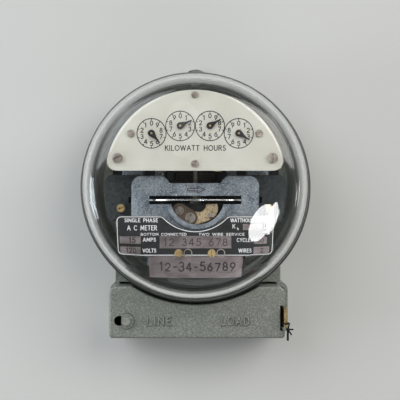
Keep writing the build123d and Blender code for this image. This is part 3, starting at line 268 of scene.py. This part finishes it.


def rolled_ring(name):
    """The pressed steel ring: dull dark plating, with light and dark bands painted by radius as reflections
    and shade on the beads and grooves, and uneven dirt.
    """
    n = Nodes(name)
    dirt = n.noise(140.0, 5.0, 0.6)
    radius = n.math("ADD", n.radius(), n.math("MULTIPLY", dirt, 0.0006))
    # painted reflections and shade: light and dark rings by distance from the meter's axis
    painted_ring_bands = n.ramp(
        n.mapped(radius, 0.0, 1.0, *ring_edges),
        (0.12, (0.16, 0.165, 0.155)),
        (0.30, (0.03, 0.032, 0.03)),
        (0.42, (0.30, 0.31, 0.295)),
        (0.62, (0.10, 0.105, 0.10)),
        (0.80, (0.26, 0.27, 0.255)),
        (0.90, (0.05, 0.053, 0.05)),
    )
    colour = n.blend(n.mapped(dirt, 0.0, 0.4), painted_ring_bands, (0.14, 0.145, 0.135))
    normal = n.bump(dirt, 0.15, 0.0002, n.rounded(0.0004))
    rough = n.mapped(dirt, 0.3, 0.45, 0.3, 0.7)
    return n.surface(Base_Color=colour, Metallic=0.55, Roughness=rough, Normal=normal)


def clear_glass(name):
    """Thick moulded glass, very slightly green, that lets the lamps light what is behind it."""
    n = Nodes(name)
    ripple = n.noise(26.0, 1.0)
    normal = n.bump(ripple, 0.03, 0.001)
    tint = n.ramp(ripple, (0.3, (0.975, 0.985, 0.98)), (0.7, (0.985, 0.992, 0.988)))
    shader = n.add(
        "ShaderNodeBsdfPrincipled",
        {"Base Color": tint, "Roughness": 0.012, "Transmission Weight": 1.0, "IOR": 1.5, "Normal": normal},
    )
    through = n.add("ShaderNodeBsdfTransparent", {"Color": (0.945, 0.95, 0.945, 1)})
    lamps = n.add("ShaderNodeLightPath").outputs["Is Shadow Ray"]
    mix = n.add("ShaderNodeMixShader", {0: lamps, 1: shader.outputs[0], 2: through.outputs[0]})
    n.tree.links.new(mix.outputs[0], n.out.inputs["Surface"])
    return n.material


finishes = {
    # the inside of the pan, within 66 mm of the axis, gets painted shade
    "hammertone_paint": hammertone(
        "hammertone_paint", (0.15, 0.165, 0.145), (0.46, 0.485, 0.43), inner_shade_radius=0.066
    ),
    # very dark: painted shade for the magnets, which sit deep inside the pan
    "magnet_paint": hammertone("magnet_paint", (0.008, 0.010, 0.011), (0.050, 0.060, 0.064), 500.0),
    "zinc_steel": metal("zinc_steel", (0.30, 0.31, 0.29), (0.62, 0.62, 0.58)),
    "nickel": metal(
        "nickel", (0.25, 0.21, 0.18), (0.56, 0.50, 0.45), (0.25, 0.42), 260.0, metallic=0.7, radius=0.0005
    ),
    "brass": metal(
        "brass", (0.38, 0.25, 0.10), (0.78, 0.60, 0.32), (0.25, 0.42), 300.0, metallic=0.85, radius=0.0009
    ),
    "bakelite": enamel("bakelite", (0.012, 0.010, 0.009), (0.028, 0.022, 0.018), (0.2, 0.35)),
    "cast_aluminium": cast_metal("cast_aluminium"),
    "disk_aluminium": metal(
        "disk_aluminium", (0.78, 0.79, 0.80), (0.93, 0.94, 0.95), (0.16, 0.28), 90.0, grain=(1, 1, 30)
    ),
    "core_iron": striped("core_iron", (0.008, 0.008, 0.008), (0.035, 0.035, 0.034), 420.0, "Y", 0.5, 0.4),
    "coil_wrap": striped("coil_wrap", (0.006, 0.005, 0.004), (0.028, 0.020, 0.014), 160.0, "Z", 0.4),
    "copper_lead": metal("copper_lead", (0.07, 0.04, 0.028), (0.20, 0.12, 0.085), (0.35, 0.5)),
    "dial_enamel": enamel(
        "dial_enamel",
        (0.53, 0.51, 0.45),
        (0.59, 0.575, 0.52),
        (0.38, 0.5),
        specks=(0.10, 0.07, 0.05),
        sheen=0.15,
    ),
    "black_enamel": enamel(
        "black_enamel", (0.006, 0.006, 0.007), (0.014, 0.014, 0.016), (0.42, 0.55), sheen=0.05
    ),
    "rating_metal": metal(
        "rating_metal",
        (0.21, 0.175, 0.18),
        (0.43, 0.37, 0.375),
        (0.3, 0.46),
        130.0,
        grain=(0.08, 1, 1),
        bump=0.25,
    ),
    "chromate": chromate("chromate"),
    "clamp_brown": metal(
        "clamp_brown", (0.10, 0.07, 0.05), (0.22, 0.165, 0.125), (0.35, 0.5), 150.0, metallic=0.35
    ),
    "glass": clear_glass("glass"),
    "gasket_felt": striped("gasket_felt", (0.03, 0.03, 0.028), (0.09, 0.09, 0.08), 900.0, "Z", 0.85),
    "ring_metal": rolled_ring("ring_metal"),
    "seal_black": striped(
        "seal_black", (0.002, 0.002, 0.002), (0.012, 0.012, 0.011), 1400.0, "DIAGONAL", 0.8
    ),
}
for entry in frame["record"]["subparts"]:
    mesh = nodes[entry["node"]].data
    mesh.materials.clear()
    mesh.materials.append(finishes[entry["material_slot"]])

matt = {"sheen": 0.0, "radius": 0}
print_black = enamel("print_black", (0.006, 0.006, 0.006), (0.018, 0.017, 0.016), (0.5, 0.7), **matt)
print_white = enamel("print_white", (0.66, 0.67, 0.68), (0.86, 0.86, 0.86), (0.4, 0.5), **matt)
# dark strokes for the stamped numbers and the raised arrow's edge: painted shade in the stamping and along
# the edge
stamp_shade = enamel("stamp_shade", (0.03, 0.024, 0.024), (0.07, 0.058, 0.058), (0.5, 0.6), **matt)
# paler than the cover: worn paint and a painted highlight on the raised letters and the hood's top
letter_wear_and_highlight = enamel("letter_wear_and_highlight", (0.22, 0.235, 0.205), (0.38, 0.40, 0.355), scale=600.0, radius=0)
# dark strokes painted as shadow at the feet of the raised letters and round the hood
letter_shadow = enamel(
    "letter_shadow", (0.05, 0.055, 0.045), (0.13, 0.14, 0.12), (0.5, 0.7), scale=600.0, **matt
)
pencil = enamel("pencil", (0.012, 0.010, 0.010), (0.05, 0.04, 0.04), (0.5, 0.7), scale=700.0, **matt)


# ---------------------------------------------------------------- lettering, drawn as pen strokes
def arc(cx, cy, rx, ry, start, end, steps):
    """Points on part of an oval; start and end are in degrees, anticlockwise from the right."""
    turns = [math.radians(start + (end - start) * i / steps) for i in range(steps + 1)]
    return [(cx + rx * math.cos(t), cy + ry * math.sin(t)) for t in turns]


stem = [(0.04, 0.0), (0.04, 1.0)]

# Each sign is its width and its strokes, on a line of height 1.
signs = {
    "0": (0.62, [arc(0.31, 0.5, 0.29, 0.5, 0, 360, 20)]),
    "1": (0.34, [[(0.02, 0.80), (0.20, 1.0), (0.20, 0.0)]]),
    "2": (0.62, [[*arc(0.31, 0.71, 0.28, 0.29, 165, -30, 10), (0.02, 0.0), (0.62, 0.0)]]),
    "3": (0.60, [arc(0.29, 0.76, 0.24, 0.24, 150, -80, 9), arc(0.28, 0.27, 0.30, 0.27, 90, -150, 11)]),
    "4": (0.66, [[(0.48, 0.0), (0.48, 1.0), (0.02, 0.27), (0.66, 0.27)]]),
    "5": (0.60, [[(0.55, 1.0), (0.14, 1.0), (0.08, 0.56), *arc(0.29, 0.32, 0.30, 0.32, 118, -145, 11)]]),
    "6": (0.60, [[(0.44, 1.0), (0.07, 0.46), *arc(0.30, 0.30, 0.28, 0.30, 160, 520, 16)]]),
    "7": (0.60, [[(0.02, 1.0), (0.60, 1.0), (0.20, 0.0)]]),
    "8": (0.60, [arc(0.30, 0.76, 0.22, 0.24, 0, 360, 14), arc(0.30, 0.27, 0.28, 0.27, 0, 360, 16)]),
    "9": (0.60, [[(0.16, 0.0), (0.53, 0.54), *arc(0.30, 0.70, 0.28, 0.30, -20, 340, 16)]]),
    "A": (0.74, [[(0.0, 0.0), (0.37, 1.0), (0.74, 0.0)], [(0.14, 0.34), (0.60, 0.34)]]),
    "B": (
        0.60,
        [
            [*stem, (0.34, 1.0), *arc(0.34, 0.76, 0.20, 0.24, 90, -90, 7), (0.04, 0.52)],
            [(0.34, 0.52), *arc(0.34, 0.26, 0.24, 0.26, 90, -90, 8), (0.04, 0.0)],
        ],
    ),
    "C": (0.72, [arc(0.40, 0.5, 0.38, 0.5, 45, 315, 14)]),
    "D": (0.70, [[*stem, (0.30, 1.0), *arc(0.30, 0.5, 0.38, 0.5, 90, -90, 12), (0.04, 0.0)]]),
    "E": (0.52, [[(0.52, 1.0), (0.04, 1.0), (0.04, 0.0), (0.52, 0.0)], [(0.04, 0.52), (0.44, 0.52)]]),
    "G": (0.78, [[*arc(0.42, 0.5, 0.40, 0.5, 50, 330, 14), (0.78, 0.46), (0.48, 0.46)]]),
    "H": (0.68, [stem, [(0.64, 0.0), (0.64, 1.0)], [(0.04, 0.52), (0.64, 0.52)]]),
    "I": (0.10, [[(0.05, 0.0), (0.05, 1.0)]]),
    "K": (0.62, [stem, [(0.60, 1.0), (0.04, 0.42)], [(0.22, 0.60), (0.62, 0.0)]]),
    "L": (0.50, [[(0.04, 1.0), (0.04, 0.0), (0.50, 0.0)]]),
    "M": (0.84, [[(0.04, 0.0), (0.10, 1.0), (0.42, 0.22), (0.74, 1.0), (0.80, 0.0)]]),
    "N": (0.70, [[*stem, (0.66, 0.0), (0.66, 1.0)]]),
    "O": (0.86, [arc(0.43, 0.5, 0.42, 0.5, 0, 360, 22)]),
    "P": (0.56, [[*stem, (0.32, 1.0), *arc(0.32, 0.74, 0.22, 0.26, 90, -90, 8), (0.04, 0.48)]]),
    "R": (
        0.60,
        [
            [*stem, (0.32, 1.0), *arc(0.32, 0.75, 0.22, 0.25, 90, -90, 8), (0.04, 0.50)],
            [(0.30, 0.50), (0.60, 0.0)],
        ],
    ),
    "S": (0.56, [[*arc(0.29, 0.75, 0.24, 0.25, 35, 250, 9), *arc(0.27, 0.26, 0.26, 0.26, 75, -150, 11)]]),
    "T": (0.60, [[(0.30, 0.0), (0.30, 1.0)], [(0.0, 1.0), (0.60, 1.0)]]),
    "U": (0.66, [[(0.04, 1.0), *arc(0.33, 0.30, 0.29, 0.30, 180, 360, 9), (0.62, 1.0)]]),
    "V": (0.70, [[(0.0, 1.0), (0.35, 0.0), (0.70, 1.0)]]),
    "W": (1.04, [[(0.0, 1.0), (0.26, 0.0), (0.52, 1.0), (0.78, 0.0), (1.04, 1.0)]]),
    "Y": (0.66, [[(0.0, 1.0), (0.33, 0.48), (0.66, 1.0)], [(0.33, 0.48), (0.33, 0.0)]]),
    "h": (0.5, [stem, [*arc(0.24, 0.40, 0.20, 0.24, 180, 0, 7), (0.44, 0.0)]]),
    "-": (0.40, [[(0.03, 0.48), (0.37, 0.48)]]),
    " ": (0.45, []),
}


# cross-sections of a stroke: share of the pen's width, and share of the rise
flat_section = [(1.0, 0.0), (1.0, 1.0)]
crowned_section = [(1.0, 0.0), (0.86, 0.55), (0.55, 0.88), (0.2, 1.0)]
level_count, level_step = 7, 0.004


class Strokes:
    """Pen strokes on a plane that faces forward, as raised bars with round ends.

    Sizes are in millimetres. The height is the plane's own, in front of the wall; the rise is the stroke's.
    """

    def __init__(self, height, rise, section=flat_section):
        self.mesh = bmesh.new()
        self.height = height
        self.rise = rise
        self.section = section
        self.count = 0

    def bar(self, start, end, pen):
        # neighbouring strokes overlap, so each stands a few microns above or below the next
        self.count = (self.count + 1) % level_count
        top = self.rise + self.count * level_step
        heading = math.atan2(end[1] - start[1], end[0] - start[0])
        rings = []
        for share, lift in self.section:
            ring = []
            for centre, first in ((start, 90), (end, -90)):
                for x, z in arc(*centre, pen / 2 * share, pen / 2 * share, first, first + 180, 4):
                    dx, dz = x - centre[0], z - centre[1]
                    x = centre[0] + dx * math.cos(heading) - dz * math.sin(heading)
                    z = centre[1] + dx * math.sin(heading) + dz * math.cos(heading)
                    ring.append(self.mesh.verts.new((x * MM, -(self.height + top * lift) * MM, z * MM)))
            rings.append(ring)
        for low, high in zip(rings, rings[1:]):
            for i in range(len(low)):
                j = (i + 1) % len(low)
                self.mesh.faces.new((low[j], low[i], high[i], high[j]))
        self.mesh.faces.new(rings[-1])

    def line(self, points, pen):
        for start, end in zip(points, points[1:]):
            self.bar(start, end, pen)

    def write(self, text, x, z, tall, pen, gap=0.26, wander=0.0, wide_to=None):
        """Text with its middle at x and its foot at z; wide_to is its full width, if it has to fit one."""
        total = sum(signs[c][0] for c in text) + gap * (len(text) - 1)
        wide = wide_to / (total * tall) if wide_to else 1.0
        at = x - 0.5 * total * tall * wide
        dice = random.Random(text)
        for c in text:
            width, strokes = signs[c]
            lift, lean, grow = (dice.uniform(-wander, wander) for _ in range(3))
            for stroke in strokes:
                points = []
                for px, py in stroke:
                    across = (px * wide + lean * py * 0.5) * tall * (1 + grow)
                    up = (py + lift * 0.4) * tall * (1 + grow)
                    points.append((at + across, z + up))
                self.line(points, pen)
            at += (width + gap) * tall * wide

    def piece(self, name, body, material):
        mesh = bpy.data.meshes.new(name)
        bmesh.ops.recalc_face_normals(self.mesh, faces=self.mesh.faces)
        self.mesh.to_mesh(mesh)
        self.mesh.free()
        mesh.materials.append(material)
        if self.section is crowned_section:
            for face in mesh.polygons:
                face.use_smooth = True
        made = bpy.data.objects.new(name, mesh)
        bpy.context.scene.collection.objects.link(made)
        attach(made, body)


def face_of(node):
    """Height of a node's front face over the wall, in millimetres."""
    return -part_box(node)[0].y / MM


def middle(node):
    """Middle of a node's box as (x, z), in millimetres."""
    low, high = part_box(node)
    return ((low.x + high.x) / 2 / MM, (low.z + high.z) / 2 / MM)


# ---------------------------------------------------------------- dial printing
# half width and half height of the printed circles, in millimetres; each is a little taller than wide
circle_half = (9.78, 9.98)
tick_tip_half = (9.7, 9.9)
tick_foot_half = (8.75, 8.95)
digit_half = (6.75, 6.85)
digit_tall = 2.9
degrees_per_digit = 36


def on_oval(x, z, half, angle):
    return (x + half[0] * math.cos(angle), z + half[1] * math.sin(angle))


dials = Strokes(face_of("dial_face"), 0.04)
# 1 where the digits run clockwise, -1 where they run the other way
dial_ways = {"ones": 1, "tens": -1, "hundreds": 1, "thousands": -1}
for dial, way in dial_ways.items():
    x, z = middle(dial + "_arbor")
    dials.line(arc(x, z, *circle_half, 0, 360, 64), 0.62)
    for digit in range(10):
        angle = math.radians(90 - way * degrees_per_digit * digit)
        tip = on_oval(x, z, tick_tip_half, angle)
        foot = on_oval(x, z, tick_foot_half, angle)
        dials.bar(foot, tip, 0.55)
        spot = on_oval(x, z, digit_half, angle)
        dials.write(str(digit), spot[0], spot[1] - digit_tall / 2, digit_tall, 0.58)
dials.write("KILOWATT HOURS", 0.2, 24.2, 3.3, 0.58, wide_to=40.8)
dials.piece("dial_print", "base", print_black)

# ---------------------------------------------------------------- nameplate printing
white = Strokes(face_of("nameplate"), 0.05)
# text, x, z, height, pen, full width
plate_words = (
    ("SINGLE PHASE", -36.8, -24.2, 2.3, 0.44, 22.5),
    ("A C METER", -36.2, -29.7, 3.0, 0.5, 20.0),
    ("WATTHOUR METER", 37.0, -24.2, 2.3, 0.42, 25.5),
    ("BOTTOM CONNECTED", -21.5, -33.4, 1.6, 0.32, 31.0),
    ("TWO WIRE SERVICE", 18.0, -33.4, 1.6, 0.32, 31.0),
    ("K", 26.4, -28.4, 2.6, 0.46, None),
    ("h", 29.2, -29.6, 1.7, 0.36, None),
    ("AMPS", -31.2, -37.4, 2.3, 0.46, 8.6),
    ("VOLTS", -31.2, -44.8, 2.3, 0.46, 9.0),
    ("CYCLES", 33.8, -37.6, 2.3, 0.44, 10.6),
    ("WIRES", 34.0, -44.8, 2.3, 0.44, 8.6),
)
for text, x, z, tall, pen, full_width in plate_words:
    white.write(text, x, z, tall, pen, wide_to=full_width)


def outline(node):
    """The outer edge of a node's front face, as (x, z) points in millimetres, in order."""
    mesh = nodes[node].data
    front = min(v.co.y for v in mesh.vertices)
    key = {v.index: (round(v.co.x / MM, 3), round(v.co.z / MM, 3)) for v in mesh.vertices}
    uses = {}
    for face in mesh.polygons:
        if all(abs(mesh.vertices[i].co.y - front) < 1e-6 for i in face.vertices):
            corners = [key[i] for i in face.vertices]
            for pair in zip(corners, corners[1:] + corners[:1]):
                uses.setdefault(frozenset(pair), []).append(pair)
    follows = {pairs[0][0]: pairs[0][1] for pairs in uses.values() if len(pairs) == 1}
    loops = []
    while follows:
        start = next(iter(follows))
        loop, at = [start], follows.pop(start)
        while at != start and at in follows:
            loop.append(at)
            at = follows.pop(at)
        loops.append(loop)
    return max(loops, key=lambda loop: max(p[0] for p in loop) - min(p[0] for p in loop))


def inset(loop, by):
    """A closed outline moved inwards, with its first point again at the end."""
    area = sum(a[0] * b[1] - b[0] * a[1] for a, b in zip(loop, loop[1:] + loop[:1]))
    side = by if area > 0 else -by
    moved = []
    for before, here, after in zip(loop[-1:] + loop[:-1], loop, loop[1:] + loop[:1]):
        tangent = Vector((after[0] - before[0], after[1] - before[1])).normalized()
        moved.append((here[0] - tangent.y * side, here[1] + tangent.x * side))
    return moved + moved[:1]


white.line(inset(outline("nameplate"), 0.7), 0.5)
white.piece("nameplate_print", "base", print_white)

# ---------------------------------------------------------------- stamped and written numbers
# the stamped numbers are drawn as flat dark strokes: painted shade in the stamping
ratings = Strokes(face_of("rating_inserts"), 0.04)
# amps, volts, Kh, cycles and wires: text, x, z, height, pen
rating_values = (
    ("15", -42.8, -38.2, 3.3, 0.6),
    ("120", -43.8, -45.4, 3.3, 0.6),
    ("1", 41.5, -28.9, 2.8, 0.55),
    ("60", 44.6, -38.0, 2.9, 0.55),
    ("2", 45.6, -45.2, 3.0, 0.55),
)
for value in rating_values:
    ratings.write(*value)
ratings.piece("rating_stamps", "base", stamp_shade)

# the serial number is drawn the same way: dark strokes as painted shade of the stamped digits
serial = Strokes(face_of("serial_plate"), 0.04)
serial.write("12 345 678", 0.4, -40.2, 4.6, 0.58, gap=0.34, wide_to=43.0)
serial.piece("serial_stamps", "base", stamp_shade)

written = Strokes(face_of("lower_plate"), 0.04)
written.write("12-34-56789", 1.6, -57.6, 5.6, 0.95, gap=0.34, wander=0.10, wide_to=51.5)
written.piece("lower_plate_writing", "base", pencil)

# ---------------------------------------------------------------- cast lettering on the terminal cover
cover_front = 50.0  # the flat front of the terminal cover; the node's box reaches out to its hood
letter_foot, letter_tall, letter_gap = -100.6, 5.8, 0.4
letter_root = 0.05  # the letters start this deep in the cover
hood_x, hood_z = middle("cover_stud")
cast = Strokes(cover_front - letter_root, 1.15, crowned_section)
shadow_strokes = Strokes(cover_front, 0.02)
for text, x, full_width in (("LINE", -26.6, 17.0), ("LOAD", 29.0, 20.0)):
    cast.write(text, x, letter_foot, letter_tall, 1.15, gap=letter_gap, wide_to=full_width)
    # painted shadow: wider, lower and a little to the right, so it shows as a dark shadow at the letters'
    # feet
    shadow_strokes.write(text, x + 0.15, letter_foot - 0.25, letter_tall, 1.75, gap=letter_gap, wide_to=full_width)
# painted shade round the right-hand side of the hood's foot
shadow_strokes.line(arc(hood_x, hood_z, 5.75, 5.75, -128, 128, 30), 0.5)
cast.piece("line_load_letters", "terminal_lid", letter_wear_and_highlight)
shadow_strokes.piece("painted_shadow_around_letters", "terminal_lid", letter_shadow)
# round paler patch on top of the hood, worn paint and a painted highlight, drawn as one very short stroke
worn_and_lit = Strokes(face_of("terminal_cover"), 0.03)
worn_and_lit.bar((hood_x - 0.01, hood_z), (hood_x + 0.01, hood_z), 5.0)
worn_and_lit.piece("hood_top_wear_and_highlight", "terminal_lid", letter_wear_and_highlight)


# ---------------------------------------------------------------- disk edge: timing marks, index beside it
tick_count = 50
first_tick = 0.03  # radians
tick_size = (0.00006, 0.00035, 0.0003)  # out of the edge, along it and up, in metres
tick_bevel = 0.00001
tick_drop = 0.00022  # middle of a tick below the disk's top
disk_low, disk_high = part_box("rotor_disk")
disk_r = (disk_high.x - disk_low.x) / 2
disk_y = (disk_low.y + disk_high.y) / 2
marks = bmesh.new()
for tick in range(tick_count):
    block = bmesh.new()
    bmesh.ops.create_cube(block, size=1.0)
    bmesh.ops.scale(block, vec=tick_size, verts=block.verts)
    bmesh.ops.bevel(block, geom=block.edges[:], offset=tick_bevel, segments=1, affect="EDGES")
    turn = 2 * math.pi * tick / tick_count + first_tick
    spot = Vector((disk_r * math.cos(turn), disk_y + disk_r * math.sin(turn), disk_high.z - tick_drop))
    block.transform(Matrix.Translation(spot) @ Matrix.Rotation(turn, 4, "Z"))
    copy = bpy.data.meshes.new("tick")
    block.to_mesh(copy)
    block.free()
    marks.from_mesh(copy)
    bpy.data.meshes.remove(copy)
marks_mesh = bpy.data.meshes.new("disk_timing_marks")
marks.to_mesh(marks_mesh)
marks.free()
marks_mesh.materials.append(print_black)
timing_marks = bpy.data.objects.new("disk_timing_marks", marks_mesh)
bpy.context.scene.collection.objects.link(timing_marks)
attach(timing_marks, "rotor")

frame_front = 82.0
arrow_rise = 0.5

# dark outline, painted shade along the edge of the raised arrow that shows which way the disk turns
arrow = Strokes(frame_front + arrow_rise, 0.02)
arrow_edge = [
    (-5.3, -1.1),
    (1.6, -1.1),
    (1.6, 0.4),
    (7.0, -1.95),
    (1.6, -4.3),
    (1.6, -2.8),
    (-5.3, -2.8),
    (-5.3, -1.1),
]
arrow.line(arrow_edge, 0.45)
arrow.piece("arrow_outline", "base", stamp_shade)

# small white index beside the disk's edge, thinner at its lower end
index_x = -13.1
index = Strokes(frame_front, 0.25)
index.bar((index_x, -5.4), (index_x, -6.0), 0.6)
index.bar((index_x, -6.0), (index_x, -6.2), 0.45)
index.piece("disk_index", "base", print_white)

# ---------------------------------------------------------------- backdrop and light
wall_half = 3
wall_y = 0.0006  # just behind the meter's back, so the two faces don't share a plane
wall = bpy.data.objects.new("backdrop", bpy.data.meshes.new("backdrop"))
wall_corners = [(x * wall_half, wall_y, z * wall_half) for x, z in ((-1, -1), (1, -1), (1, 1), (-1, 1))]
wall.data.from_pydata(wall_corners, [], [(0, 1, 2, 3)])
bpy.context.scene.collection.objects.link(wall)
paper = Nodes("backdrop_paper")
grain = paper.noise(900.0, 3.0)
slow = paper.noise(1.2, 2.0)
shade = paper.ramp(slow, (0.3, (0.70, 0.705, 0.69)), (0.7, (0.74, 0.74, 0.72)))
sheet_inputs = {
    "Base Color": shade,
    "Roughness": paper.mapped(slow, 0.8, 0.9),
    "Normal": paper.bump(grain, 0.05, 0.0002),
}
sheet = paper.add("ShaderNodeBsdfPrincipled", sheet_inputs)
# see-through from behind, so the meter's back can be seen
behind = paper.add("ShaderNodeNewGeometry").outputs["Backfacing"]
open_side = paper.add("ShaderNodeBsdfTransparent")
both = paper.add("ShaderNodeMixShader", {0: behind, 1: sheet.outputs[0], 2: open_side.outputs[0]})
paper.tree.links.new(both.outputs[0], paper.out.inputs["Surface"])
wall.data.materials.append(paper.material)
# it neither colours the meter, shows in reflections nor keeps the lamps from it
wall.visible_diffuse = False
wall.visible_glossy = False
wall.visible_shadow = False

world = bpy.data.worlds.new("studio")
bpy.context.scene.world = world
world.use_nodes = True
sky = world.node_tree
ray_way = sky.nodes.new("ShaderNodeTexCoord").outputs["Generated"]
split = sky.nodes.new("ShaderNodeSeparateXYZ")
sky.links.new(ray_way, split.inputs[0])


def sky_range(value, start, end, low=0.0, high=1.0):
    """The value carried from the range start to end over to the range low to high."""
    node = sky.nodes.new("ShaderNodeMapRange")
    for socket, number in zip(node.inputs[1:5], (start, end, low, high)):
        socket.default_value = number
    sky.links.new(value, node.inputs["Value"])
    return node.outputs["Result"]


def sky_ramp(value, first, last):
    """A colour between the first, where the value is 0, and the last, where it is 1."""
    node = sky.nodes.new("ShaderNodeValToRGB")
    node.color_ramp.elements[0].color = (*first, 1)
    node.color_ramp.elements[1].color = (*last, 1)
    sky.links.new(value, node.inputs["Fac"])
    return node.outputs["Color"]


# for the meter and its reflections: dark behind the camera and below, pale to the sides and above
product = sky.nodes.new("ShaderNodeMath")
product.operation = "MULTIPLY"
sky.links.new(sky_range(split.outputs["Y"], -0.95, -0.35), product.inputs[0])
sky.links.new(sky_range(split.outputs["Z"], -0.6, 0.25, 0.25, 1.0), product.inputs[1])
reflected = sky_ramp(product.outputs[0], (0.02, 0.021, 0.023), (0.42, 0.425, 0.42))
# for the camera: plain pale surroundings where the picture looks past the backdrop
pale = sky_ramp(sky_range(split.outputs["Z"], -1.0, 1.0), (0.42, 0.425, 0.41), (0.56, 0.56, 0.545))
seen = sky.nodes.new("ShaderNodeMix")
seen.data_type = "RGBA"
sky.links.new(sky.nodes.new("ShaderNodeLightPath").outputs["Is Camera Ray"], seen.inputs[0])
sky.links.new(reflected, seen.inputs[6])
sky.links.new(pale, seen.inputs[7])
sky.links.new(seen.outputs[2], sky.nodes["Background"].inputs["Color"])
sky.nodes["Background"].inputs["Strength"].default_value = 1.0


white_light = (1.0, 1.0, 1.0)
meter_middle = (0, -0.06, -0.01)


def softbox(name, place, size, power, colour, target=meter_middle, shape="RECTANGLE", turn=0.0, hide=()):
    """A lamp aimed at the target and turned in its own plane; the rays named in hide don't meet it."""
    light = bpy.data.lights.new(name, "AREA")
    light.shape = shape
    light.size, light.size_y = size
    light.energy = power
    light.color = colour
    lamp = bpy.data.objects.new(name, light)
    bpy.context.scene.collection.objects.link(lamp)
    lamp.location = place
    aim = (Vector(target) - Vector(place)).to_track_quat("-Z", "Y")
    lamp.rotation_euler = (aim @ Quaternion((0, 0, 1), math.radians(turn))).to_euler()
    for ray in hide:
        setattr(lamp, "visible_" + ray, False)


softbox("key_right", (1.0, -1.3, 0.75), (1.3, 1.0), 13.8, (1.0, 0.975, 0.94))
softbox("fill_left", (-0.9, -1.25, 0.8), (1.2, 1.2), 11.4, (0.93, 0.965, 1.0))
softbox("fill_low", (0.3, -1.1, -1.2), (1.4, 0.8), 4.2, white_light, hide=("glossy",))
softbox("window_left", (-0.95, -0.34, -0.10), (0.20, 0.42), 2.6, (0.86, 0.94, 1.0), shape="ELLIPSE")
softbox("window_right", (0.95, -0.34, -0.06), (0.09, 0.24), 0.5, (1.0, 0.98, 0.95), shape="ELLIPSE")
softbox("back_fill", (0.2, 1.0, 0.6), (1.2, 1.0), 10.0, white_light, hide=("glossy", "transmission"))
# small cards that only show as glare on the glass
only_glossy = {"target": (0, -0.12, 0), "shape": "ELLIPSE", "hide": ("diffuse",)}
softbox("card_leaf_a", (0.160, -0.81, -0.080), (0.050, 0.100), 0.13, white_light, turn=-24, **only_glossy)
softbox("card_leaf_b", (0.190, -0.81, -0.070), (0.022, 0.086), 0.05, white_light, turn=-12, **only_glossy)
softbox("card_above", (-0.03, -0.68, 0.13), (0.08, 0.12), 0.010, white_light, **only_glossy)
